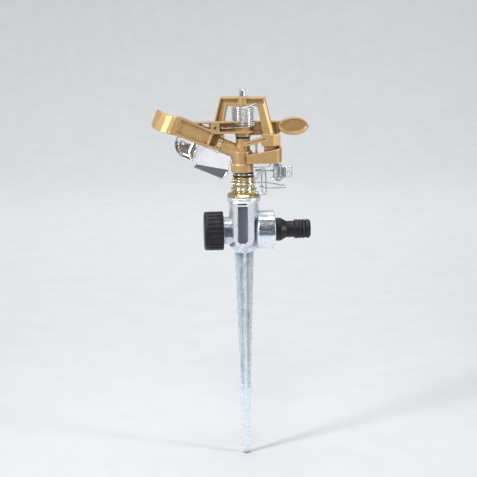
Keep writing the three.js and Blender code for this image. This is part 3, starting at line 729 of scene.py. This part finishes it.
def bearing():
    nipple = turned([
        (5.9, 37.6), (10.4, 37.6), (10.4, 49.75), (14.9, 49.75), (14.9, 50.5), (13.3, 52.0), (10.6, 53.2),
        (10.0, 53.8), (10.0, 57.4), (9.85, 57.6), (9.85, 57.9), (10.0, 58.1), (10.0, 63.6), (9.85, 63.8),
        (9.85, 64.1), (10, 64.3), (10.0, 66.3), (9.5, 66.7), (8.0, 66.7), (8.0, 57.6), (5.9, 57.6)],
        160, 0.25)
    crisp_piece("bearing_nipple", "base", "brass", nipple, 50)
    rings = (("lower_seal_ring", "black_rubber", 9.3, 67.05, 68.05, 0.4),
             ("friction_ring", "spring_steel", 9.4, 68.4, 69.55, 0.2),
             ("upper_seal_ring", "black_rubber", 9.1, 69.9, 70.35, 0.2))
    for node, slot, outer, bottom, top, soft in rings:
        crisp_piece(node, "head", slot, ring_of(outer, 5.85, bottom, top, 96, soft))
    turns = 4
    coil = wire(helix(6.95, 0, 360 * turns, 58.4, 65.9, 24 * turns), 0.5, 0.8, 12)
    crisp_piece("bearing_spring", "head", "spring_steel", coil, 60)


bearing()

# ------------------------------------------------------------------ sprinkler head

YAW = turn("Z", -14)  # the bridge stands a little turned on the head
FLAP_X, FLAP_Z = -10.3, 90.5  # the flap screw's axis


def bridge_parts():
    """The bridge's flared frame in its own plane, and the pockets that leave a rim round each face."""
    half, top, splay = 19.4, 136.8, 0.249

    def outer(z):
        return half + (top - z) * splay

    def inner(z):
        return 13.4 + (129 - z) * 0.21

    outline = [(-half, top), (half, top), (outer(104), 104), (outer(104), 96), (inner(96), 96),
               (inner(129), 129), (-inner(129), 129), (-inner(96), 96), (-inner(94.5) - 0.5, 94.5),
               (-outer(97), 96.6)]
    rim = 1.6

    def leg(sign):
        return rounded([(sign * (outer(131.2) - rim), 131.2), (sign * (outer(106) - rim), 106),
                        (sign * (inner(106) + rim), 106), (sign * (inner(131.2) + rim), 131.2)], 0.6)

    bar = rounded([(rim - outer(134.8), 134.8), (outer(134.8) - rim, 134.8), (outer(131.2) - rim, 131.2),
                   (rim - outer(131.2), 131.2)], 0.4)
    cuts = [panel(leg(-1), -6, -1.2), panel(bar, -6, -1.2)]
    cuts += [panel(shape, 1.2, 6) for shape in (leg(1), leg(-1), bar)]
    wedge = upright([(16.7, -3.5), (27.5, -3.5), (27.5, 7.3)], 80, 134.8)
    lean = Matrix(((1, 0, -splay, top * splay), (0, 1, 0, 0), (0, 0, 1, 0), (0, 0, 0, 1)))
    cuts.append(moved(wedge, lean))
    return moved(panel(rounded(outline, 0.7), -3.4, 3.4), YAW), [moved(c, YAW) for c in cuts]


def skirt_shape():
    """The thin wall that hangs round the trip mechanism, with its lower edge level and its top sloping."""
    middle, outer, inner = (25.6, -5), 8, 6
    wall = [(2.2, -13), (25.6, -13), *arc_points(*middle, outer, -90, 0, 20), (33.6, -1), (31.6, -1),
            *arc_points(*middle, inner, 0, -90, 20), (2.2, -11)]
    above = panel([(-5, 86.0), (24, 90.6), (36, 93.4), (36, 99), (-5, 99)], -20, 20)
    below = box((-5, 36), (-20, 20), (78, 79.3))
    return as_shape(carved("skirt_tool", [upright(wall, 79, 93)], [above, below]))


def head_body():
    skirt = skirt_shape()
    bridge_frame, pockets = bridge_parts()
    bridge = as_shape(carved("bridge_tool", [bridge_frame], pockets))
    tube = turned([(0, 70.7), (9.4, 70.7), (9.9, 71.2), (9.9, 77.8), (9.0, 78.4), (9.0, 89.2), (5, 91),
                   (0, 91)], 128, 0.5)
    lug = [(-29, 104), (-30.6, 97), (-24, 94.2), (-10, 88), (-10, 97), (-16, 99), (-21, 104)]
    shelf = [(3, -11.6), (26, -11.6), (32, -6), (32, -1.4), (24, -1.4), (12, 5), (3, 6)]
    block = [(16, -9.2), (25.5, -10.6), (32.8, -6), (31, -2), (16, -1.6)]
    waist = [(18, -8), (25, -9), (30, -5), (29, -2.4), (18, -2.2)]
    brace = [(0.5, 93.6), (18.7, 98.4), (18.7, 102.4), (0.5, 97.4)]
    brace_pocket = rounded([(3, 95.6), (18.7, 99.7), (18.7, 101.2), (3, 96.9)], 0.4)
    adds = [
        moved(tube, shift(-1.0, 0, 0)),
        disc(6.2, 87.2, 100.75, 96),
        in_jet(rod(6.35, (0, 0, 0), (20.85, 0, 0), 96)),
        about_y(disc(4.0, 3, 6.85), FLAP_X, FLAP_Z),
        moved(disc(4.6, 129, 137.2, 96), YAW),
        moved(panel(lug, 0.2, 3.4), YAW),
        upright(rounded(block, 0.8), 94, 104.4),
        upright(rounded(waist, 0.8), 84, 95),
        panel(brace, -9.2, -3.6),
        box((10.2, 12.2), (-9, -5), (86, 98.5)),
        upright(shelf, 84.6, 86.8),
        rod(3.4, (29.5, -3.5, 80.5), (29.5, -3.5, 86)),
        skirt,
        bridge,
    ]
    jet_bores = ((4.1, -0.5, 30), (5.1, 13.8, 34), (5.8, 20.85, 34))
    cuts = [
        panel(brace_pocket, -10, -8.3),
        disc(5.85, 60, 84.8),
        *(in_jet(rod(radius, (start, 0, 0), (end, 0, 0))) for radius, start, end in jet_bores),
        rod(2.95, (0, 0, 91.2), (0, 0, 150)),
        rod(1.85, (30.5, -3.5, 79), (30.5, -3.5, 84.8)),
        rod(0.95, (6, 4, 73.8), (14, 4, 73.8)),
        about_y(disc(1.85, 4.6, 20), FLAP_X, FLAP_Z),
    ]
    body = cast("sprinkler_head_body", adds, cuts, voxel=0.3, softness=8)
    place(body, "head", "gold_casting", "head_body")


def tilt_with_jet(obj):
    """Turns a piece that was made in the jet's frame into the part's frame."""
    obj.data.transform(Matrix.Scale(MM, 4) @ JET @ Matrix.Scale(1 / MM, 4))


def nozzle():
    corner = 5.3
    hexagon = [(corner * math.cos(TAU * i / 6), corner * math.sin(TAU * i / 6)) for i in range(6)]
    shank = about_x(disc(4.7, 14.2, 21.6, 64))
    head = about_x(upright(rounded(hexagon, 0.25), 21.2, 25.4))
    bore = about_x(disc(2.1, 10, 30))
    mouth = about_x(turned([(0, 24.2), (2.0, 24.2), (3.2, 25.6), (0, 25.6)]))
    body = cast("sprinkler_nozzle", [shank, head], [bore, mouth], voxel=0.14, softness=3)
    tilt_with_jet(body)
    place(body, "head", "brass", "nozzle")


def fulcrum_pin():
    pin = turned([(0, 91.6), (2.6, 91.6), (2.6, 142.7), (2.0, 143.3), (0, 143.3)], 64, 0.2)
    crisp_piece("fulcrum_pin", "head", "spring_steel", pin)


head_body()
nozzle()
fulcrum_pin()

# ------------------------------------------------------------------ impact arm


def arm_spring():
    """The coil, with its lower end at the arm and its top at the bridge."""
    turns = 8
    coil = helix(9.45, -90, -90 + 360 * turns, 111.4, 127.9, 24 * turns)
    lower = [(-18.6, -10.4, 110.9), (-8, -10.1, 111.1), (-4, -9.8, 111.3)]
    upper = [(4, -9.2, 128.7), (8.5, -8.3, 130.6), (11.6, -7.6, 131.4)]
    piece = crisp("sprinkler_arm_spring", wire([*lower, *coil, *upper], 0.5, 0.7, 14), angle=70)
    piece.data.materials.append(MATERIALS["spring_steel"])
    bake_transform(piece)
    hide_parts("arm_spring")


def spoon_parts():
    """The spoon in the jet's frame: a web between two rims, a floor and a step, and the curved vane."""
    upper = [(31, 8.9), (42, 9.2), (64, 9.2), (68, 8)]
    lower = [(22, -3.5), (32, -4.3), (43, -5.1), (60, -5.3), (68, -6.4)]
    plan = rounded([
        (63.5, 12), (67, 11.9), (71, 10.6), (75.2, 7.8), (80, 3.2), (85.4, -3.6), (83.2, -5.9),
        (77.8, 0.6), (73.4, 4.8), (69.3, 7.2), (66, 7.8), (57, 7.8), (57, 8.8), (60, 9.1)], 1.2)
    outline = [(56, -6.2), (60, -6.3), (79.2, -9.6), (83.8, -8.3), (84.6, 7.6), (81, 7.2), (74.5, 7.2),
               (66, 10.1), (56, 10.1)]
    vane = carved("vane_tool", [upright(plan, -14, 14)], [])
    tool = mesh_object("vane_outline", panel(rounded(outline, 1.0), -12, 14))
    clip = vane.modifiers.new("clip", "BOOLEAN")
    clip.operation, clip.object, clip.solver = "INTERSECT", tool, "MANIFOLD"
    settle(vane)
    bpy.data.objects.remove(tool)
    web = carved("web_tool", [panel(upper + lower[::-1], 7.2, 9.2)],
                 [panel([(33, 12), (20, 12), (20, -2.4), (33, -3.4)], 5, 11)])
    floor = panel([(34, 8.9), (26.2, 8.6), (26.2, -3.6), (34, -4.4)], 5.2, 6.6)
    step = panel([(34.2, 8.9), (32.4, 8.9), (31.6, -4), (33.4, -4.2)], 5.2, 11)
    rims = [panel(strip(line, 2), 5, 12) for line in (upper, lower)]
    return [in_jet(shape) for shape in (as_shape(vane), as_shape(web), floor, step, *rims)]


def left_beam_parts():
    front, back = -12, -5
    plate = [(0, 106.4), (-26, 106.4), (-25.4, 107.6), (-42, 115), (-42, 116.5), (0, 116.5)]
    adds = [
        panel(plate, -9.2, -7.2),
        box((-43, -2.5), (front, back), (115.3, 116.7)),
        box((-26.4, 0), (front, back), (106.2, 107.8)),
        box((-28.6, -21.0), (front, back), (107, 116)),
        rod(1.5, (-18.4, -8.5, 102.4), (-18.4, -8.5, 107.0)),
    ]
    cuts = [
        panel(rounded([(-29.9, 111.4), (-37.4, 114.7), (-29.9, 114.7)], 0.3), front, 0),
        about_y(disc(1.4, -20, 0), -24.6, 111.2),
    ]
    return adds, cuts


WEIGHT_FRONT, WEIGHT_BACK = -2.2, 3.8  # the counterweight's faces


def lens(inset):
    """The counterweight's outline: round on the side of the arm, drawn to a blunt point at the end."""
    centre, height, half, rise = 44.5, 110.2, 13.4, 7.8
    steps, pointedness = 120, 0.28
    points = []
    for i in range(steps):
        c, s = math.cos(TAU * i / steps), math.sin(TAU * i / steps)
        lift = math.copysign(abs(s) ** (1 + pointedness * max(c, 0) ** 2), s)
        points.append((centre + (half - inset) * c, height + (rise - inset) * lift))
    return points


def dish():
    """A shallow bowl that hollows the counterweight's front face; its rings are (inset, depth)."""
    rings = [(1.3, -2.0), (1.3, -0.1), (1.6, 0.8), (2.3, 1.5), (3.6, 2.0), (5.4, 2.25), (7.2, 2.35)]
    points = [(x, WEIGHT_FRONT + depth, z) for inset, depth in rings for x, z in lens(inset)]
    n = len(lens(0))
    last = (len(rings) - 1) * n
    ends = [list(range(n)), [last + i for i in range(n)][::-1]]
    return points, bands(n, len(rings)) + ends


def impact_arm():
    left_adds, left_cuts = left_beam_parts()
    right = rounded([(0, 102.6), (31, 103.4), (34, 106), (34, 113.6), (32, 115), (0, 115)], 0.8)
    hollow = rounded([(8, 104.6), (29, 105), (29, 113.2), (8, 113.2)], 0.8)
    seat = disc(9.6, 105.7, 107.5, 96)
    gusset = upright([(-12, -9.1), (0, -9.1), (6, -4), (7, 3), (0, 5), (-6, 2)], 106, 110.6)
    beams = carved("beams_tool", [*left_adds, panel(right, -0.2, 5.0), gusset, seat], [
        *left_cuts, panel(hollow, -1.2, 1.6), panel(hollow, 3.2, 6), disc(10.9, 110.7, 122, 96)])
    boss = disc(6.7, 102.1, 113.8, 96)
    weight = panel(lens(0), WEIGHT_FRONT, WEIGHT_BACK)
    adds = [as_shape(beams), boss, *spoon_parts(), weight]
    cuts = [disc(4.65, 95, 120, 96), dish()]
    body = cast("sprinkler_impact_arm", adds, cuts, voxel=0.3, softness=9)
    place(body, "arm", "gold_casting", "impact_arm")


def arm_bushing():
    bush = turned([(2.95, 101.1), (6.5, 101.1), (6.5, 101.75), (4.3, 101.75), (4.3, 113.6), (2.95, 113.6)],
                  96, 0.15)
    crisp_piece("arm_bushing", "arm", "black_plastic", bush)


arm_spring()
impact_arm()
arm_bushing()

# ------------------------------------------------------------------ trip mechanism and stop collars

PIVOT = shift(30.5, -3.5, 0)  # the lever's pin


def trip_lever():
    """Bent sheet round the pin: two ears, a back and a side, a pierced hasp, and a long tongue upwards."""
    lower_ear = rounded([(-6.4, 4.6), (4, 4.6), (4, -3.4), (2.6, -4.6), (-1, -4.4), (-2.4, -3.2),
                         (-4.2, -4.6), (-6.4, -3.4)], 0.6)
    upper_ear = rounded([(-4, 4.6), (4, 4.6), (4, -4.4), (-4, -4.4)], 0.8)
    hasp_line = rounded([(3.7, -4.0), (4.9, -4.9), (6.2, -4.7), (12.2, -0.8)], 0.8, False)
    hasp_hole = rod(1.5, (5.9, 2, 71), (11.3, -7, 71))
    hasp = carved("hasp_tool", [upright(strip(hasp_line, 1.0), 66.2, 75.4)], [hasp_hole])
    adds = [
        upright(lower_ear, 64.2, 65.2),
        upright(upper_ear, 75.4, 76.4),
        box((-4, 4), (4.6, 5.6), (64.2, 77.0)),
        box((-4.1, -1.9), (-4.6, -3.7), (64.6, 76)),
        box((3.2, 4.2), (-4.4, 5.2), (64.2, 76.4)),
        as_shape(hasp),
        box((-2.2, 1.8), (4.6, 5.6), (76, 100.6)),
        box((-2.2, 1.8), (4.6, 8.2), (99.6, 100.6)),
    ]
    body = cast("sprinkler_trip_lever", [moved(a, PIVOT) for a in adds],
                [moved(disc(1.85, 60, 80), PIVOT)], voxel=0.18, softness=3)
    place(body, "lever", "spring_steel", "trip_lever")


def trip_finger():
    """Wire from the lever round behind the nipple, then down and back up in a long narrow loop."""
    y, z, low, radius = 8.2, 71.3, 48.0, 0.65
    reach = [(28.4, 0.3, z + 0.1), (25.5, -0.8, z), (18, -1.1, z), (13.4, -0.9, z)]
    back = [(11.2, 0.6, z), (11.2, 3.6, z - 0.1), (12.8, 6.8, z - 0.2), (16.0, y, z - 0.2),
            (18.4, y, z - 1.4)]
    left = [(17.2, y, z - 6), (16.8, y, z - 12), (17.3, y, low + 4)]
    bend = [(19.1 + 1.8 * math.cos(a), y, low + radius + 1.9 + 1.9 * math.sin(a))
            for a in np.linspace(math.pi, TAU, 9)[1:-1]]
    right = [(20.9, y, low + 4), (20.6, y, z - 12), (20.4, y, z - 5), (20.0, y, z - 0.4)]
    line = wire([*reach, *back, *left, *bend, *right], radius, 0.4)
    crisp_piece("trip_finger", "lever", "spring_steel", line, 70)


def finger_brace():
    strap = moved(box((-6.4, 6.4), (-0.4, 0.4), (-1.5, 1.5)), shift(15.3, 6.8, 67.4) @ turn("Y", -49.4))
    piece = cast("sprinkler_finger_brace", [strap], voxel=0.14, softness=2)
    place(piece, "lever", "spring_steel", "finger_brace")


def trip_spring():
    line = [(7.2, 4, 73.8), (12, 4, 73.8), (18, 4, 73.9), (22, 3.9, 74), (24.2, 3.6, 75), (24.7, 3.5, 77.2)]
    crisp_piece("trip_spring", "head", "spring_steel", wire(line, 0.55, 0.4), 70)


def trip_pin():
    """The lever's pin with its head below, and the clip that sits on it above the lever."""
    pin = turned([(0, 62.4), (2.4, 62.4), (2.4, 63.85), (1.5, 63.85), (1.5, 84.2), (0, 84.2)], 48, 0.2)
    clip = ring_of(3.0, 1.85, 76.75, 77.4, 48, 0.15)
    crisp_piece("trip_pin", "head", "spring_steel", moved(pin, PIVOT))
    crisp_piece("pin_clip", "head", "spring_steel", moved(clip, PIVOT))


def stop_collar(name, height, length, drop, azimuth):
    """A wire ring round the nipple whose ends run out together as a handle, length long from the axis."""
    low = height - drop
    ring = helix(11.0, 22, 346, height - 0.5, height + 0.3, 44)
    out = [(14, -1.5, height), (20, -1.3, height - 0.5), (length - 3, -1.2, height - drop * 0.55)]
    bend = [(length - 0.6, -0.8, height - drop * 0.6), (length, 0, height - drop * 0.8),
            (length - 0.6, 0.8, low)]
    home = [(length - 3, 1.2, height - drop * 1.02), (20, 1.3, low), (14.5, 1.5, height - drop * 0.72)]
    shape = moved(wire([*ring, *out, *bend, *home], 0.65, 0.4), turn("Z", azimuth))
    crisp_piece(name + "_collar", name, "spring_steel", shape, 70)


trip_lever()
trip_finger()
finger_brace()
trip_spring()
trip_pin()
stop_collar("upper_stop", 61.2, 37.2, 5.6, 0)
stop_collar("lower_stop", 55.9, 27.5, 1.4, -60)

# ------------------------------------------------------------------ deflector flap


def reach_of(ray, outline, centre):
    """How far a ray from the centre runs before it meets the outline."""
    nearest = math.inf
    for p, q in zip(outline, outline[1:] + outline[:1]):
        p, q = np.subtract(p, centre), np.subtract(q, centre)
        side = q - p
        cross = ray[0] * side[1] - ray[1] * side[0]
        if abs(cross) < 1e-9:
            continue
        along = (p[0] * side[1] - p[1] * side[0]) / cross
        part = (p[0] * ray[1] - p[1] * ray[0]) / cross
        if along > 0 and -1e-6 <= part <= 1 + 1e-6:
            nearest = min(nearest, along)
    return nearest


def bowl(outline, centre, y, depth, sheet):
    """A pressed bowl inside an outline in X and Z, as a closed sheet of even thickness."""
    spokes, steepness = 96, 2.6
    sizes = (1, 0.97, 0.93, 0.87, 0.8, 0.7, 0.6, 0.48, 0.36, 0.24, 0.12)
    rays = [np.array([math.cos(TAU * i / spokes), math.sin(TAU * i / spokes)]) for i in range(spokes)]
    edge = [ray * reach_of(ray, outline, centre) for ray in rays]
    rows = [(size, depth * (1 - size ** steepness)) for size in sizes]
    points, faces = [], []
    for lift in (0, sheet):
        base = len(points)
        for s, down in rows:
            points += [(centre[0] + e[0] * s, y - down - lift, centre[1] + e[1] * s) for e in edge]
        points.append((centre[0], y - depth - lift, centre[1]))
        faces += bands(spokes, len(rows), base)
        last = base + (len(rows) - 1) * spokes
        faces += [[last + i, last + (i + 1) % spokes, len(points) - 1] for i in range(spokes)]
    half = len(points) // 2
    faces += [[i, (i + 1) % spokes, half + (i + 1) % spokes, half + i] for i in range(spokes)]
    return points, faces


def deflector_flap():
    """Sheet in the jet's frame: a plate with a folded lower band, running into a pressed bowl."""
    sheet, back, fold = 0.8, -7.2, 11
    bow_from, bow = 16, 0.0022
    pivot = JET.inverted() @ Vector((FLAP_X, 0, FLAP_Z))
    plate = [(6.4, -12), (5.7, -18.9), (34.2, -25.5), (33.9, -23.9), (39.2, -23.6), (39.2, -7.7),
             (23.5, -8.0)]
    band = [(5.7, -18.7), (5.2, -19.7), (7.2, -28.4), (35.1, -28.7), (34.2, -25.3)]
    hinge, axis = Vector((5.7, back, -18.8)), Vector((28.5, 0, -6.6))
    bend = Matrix.Translation(hinge) @ Matrix.Rotation(math.radians(fold), 4, axis)
    bend = bend @ Matrix.Translation(-hinge)
    ear = [(23.5, -8.8), (6.4, -12.8), *arc_points(pivot.x, pivot.z, 4.2, 200, -10, 24), (16.6, -7.2)]
    outline = [(38.4, -5.5), (38.4, -23.7), (46.4, -24.0), *arc_points(46.8, -12.2, 11.8, -90, 0, 24),
               *arc_points(55, -9, 3.6, 0, 90, 12)]
    hole = rod(1.85, (pivot.x, -20, pivot.z), (pivot.x, 20, pivot.z))
    hem_ends = [((7.2, -28.0), (34.9, -28.3)), ((5.9, -21.0), (7.2, -28.0))]
    hem = [rod(0.55, (a[0], back - 0.3, a[1]), (b[0], back - 0.3, b[1]), 16) for a, b in hem_ends]
    adds = [
        panel(rounded(plate, 0.6), back - sheet, back),
        moved(panel(rounded(band, 0.6), back - sheet, back), bend),
        *(moved(piece, bend) for piece in hem),
        panel(ear, back - sheet, back),
        bowl(outline, (48.4, -14.2), back, 5.6, sheet),
    ]
    body = cast("sprinkler_deflector_flap", adds, [hole], voxel=0.14, softness=4)
    for vertex in body.data.vertices:
        along = vertex.co.x / MM
        vertex.co.y -= bow * max(along - bow_from, 0) ** 2 * MM
    tilt_with_jet(body)
    place(body, "flap", "chrome_sheet", "deflector_flap")


def flap_screw():
    """The screw, whose slot is turned a little, and the washer under its head."""
    body = turned([(0, 4.9), (1.5, 4.9), (1.5, 9.25), (3.2, 9.25), (3.2, 10.1), (2.5, 10.8), (1.2, 11),
                   (0, 11)], 64, 0.15)
    slot = box((-0.45, 0.45), (-4, 4), (10.3, 12))
    screw = carved("sprinkler_flap_screw", [body], [moved(slot, turn("Z", 25))])
    screw.data.transform(shift(FLAP_X * MM, 0, FLAP_Z * MM) @ turn("X", -90))
    screw.data.shade_smooth()
    screw.data.set_sharp_from_angle(angle=math.radians(35))
    place(screw, "head", "spring_steel", "flap_screw")
    washer = about_y(ring_of(3.3, 1.9, 8.35, 8.9, 64, 0.12), FLAP_X, FLAP_Z)
    crisp_piece("flap_washer", "flap", "spring_steel", washer)


deflector_flap()
flap_screw()

# ------------------------------------------------------------------ floor, light and camera

FLOOR = -191.3  # just under the blade's tip


def floor_and_backdrop():
    """A pale sweep: floor in front, curving up into a wall behind."""
    near, depth, rise, bend, half = -3500, 2400.0, 2600.0, 900.0, 4000
    flat = depth - bend
    angles = np.linspace(0.05, math.pi / 2, 24)
    curve = [(flat + bend * math.sin(a), bend - bend * math.cos(a)) for a in angles]
    line = [(near, 0), (flat, 0), *curve, (depth, rise)]
    points, faces = [], []
    for y, z in line:
        points += [(-half, y, FLOOR + z), (half, y, FLOOR + z)]
    for i in range(len(line) - 1):
        faces.append([2 * i, 2 * i + 1, 2 * i + 3, 2 * i + 2])
    sweep = mesh_object("studio_sweep", (points, faces))
    sweep.data.shade_smooth()
    m = Nodes("studio_paper")
    paper = m.noise(30, 3, 0.5)
    tone = m.mix(m.ramp(paper, [(0.3, 0.0), (0.7, 1.0)]), (0.66, 0.67, 0.68), (0.69, 0.70, 0.71))
    sweep.data.materials.append(m.finish(Base_Color=tone, Roughness=0.75))


def area_light(name, at, toward, size, power, spread):
    light = bpy.data.lights.new(name, "AREA")
    light.shape, light.size, light.size_y = "RECTANGLE", size[0], size[1]
    light.energy, light.spread = power, math.radians(spread)
    obj = bpy.data.objects.new(name, light)
    bpy.context.scene.collection.objects.link(obj)
    obj.visible_camera = False
    at, toward = Vector(at), Vector(toward)
    aim = (toward - at).to_track_quat("-Z", "Y").to_matrix().to_4x4()
    obj.matrix_world = Matrix.Translation(at) @ aim


def lights():
    """Soft panels round the part and washes for the sweep: places in metres, powers in watts."""
    area_light("key_left", (-0.85, -0.55, 0.55), (0, 0, 0.03), (0.20, 0.8), 2.7, 90)
    area_light("fill_right", (0.85, -0.40, 0.30), (0, 0, 0.02), (0.12, 0.8), 1.2, 90)
    area_light("front_high", (-0.15, -1.0, 1.15), (0, 0, 0.02), (0.5, 0.3), 1.2, 90)
    area_light("front_low", (0.03, -1.25, -0.08), (0, 0, 0.04), (0.54, 0.22), 0.12, 120)
    area_light("top_soft", (0.0, -0.05, 1.25), (0, 0, 0), (0.8, 0.6), 1.9, 100)
    area_light("wash_left", (-1.4, 0.8, 1.3), (-0.2, 2.2, 0.1), (1.2, 1.0), 8, 120)
    area_light("wash_right", (1.4, 0.8, 1.3), (0.2, 2.2, 0.1), (1.2, 1.0), 8, 120)
    area_light("wash_floor", (0.0, 1.2, 1.6), (0, 1.0, -0.2), (1.6, 0.8), 4, 90)


def sky():
    """A dim room, darker below than above."""
    world = bpy.data.worlds.new("studio")
    bpy.context.scene.world = world
    world.use_nodes = True
    tree = world.node_tree
    direction = tree.nodes.new("ShaderNodeTexCoord").outputs["Generated"]
    split = tree.nodes.new("ShaderNodeSeparateXYZ")
    tree.links.new(direction, split.inputs[0])
    ramp = tree.nodes.new("ShaderNodeValToRGB")
    tree.links.new(split.outputs["Z"], ramp.inputs["Fac"])
    below, above = ramp.color_ramp.elements
    below.position, below.color = 0.0, (0.30, 0.31, 0.32, 1)
    above.position, above.color = 0.75, (0.62, 0.65, 0.70, 1)
    tree.links.new(ramp.outputs["Color"], tree.nodes["Background"].inputs["Color"])
    tree.nodes["Background"].inputs["Strength"].default_value = 0.45


def camera():
    """Looks at the target from the front, a little to the left and from above, in metres."""
    azimuth, elevation, roll = math.radians(-3.7), math.radians(12.3), math.radians(0.75)
    distance, target = 1.2, Vector((-0.005, 0, 0.0106))
    sensor, focal_length = 36, 101.736
    right = Vector((math.cos(azimuth), math.sin(azimuth), 0))
    ahead = Vector((-math.sin(azimuth) * math.cos(elevation), math.cos(azimuth) * math.cos(elevation),
                    -math.sin(elevation)))
    up = right.cross(ahead)
    c, s = math.cos(roll), math.sin(roll)
    right, up = c * right - s * up, s * right + c * up
    data = bpy.data.cameras.new("camera")
    data.sensor_width, data.lens = sensor, focal_length
    data.clip_start, data.clip_end = 0.05, 20
    obj = bpy.data.objects.new("camera", data)
    bpy.context.scene.collection.objects.link(obj)
    at = target - distance * ahead
    obj.matrix_world = Matrix(((right.x, up.x, -ahead.x, at.x), (right.y, up.y, -ahead.y, at.y),
                               (right.z, up.z, -ahead.z, at.z), (0, 0, 0, 1)))
    bpy.context.scene.camera = obj


floor_and_backdrop()
lights()
sky()
camera()
bpy.context.scene.view_settings.view_transform = "Standard"
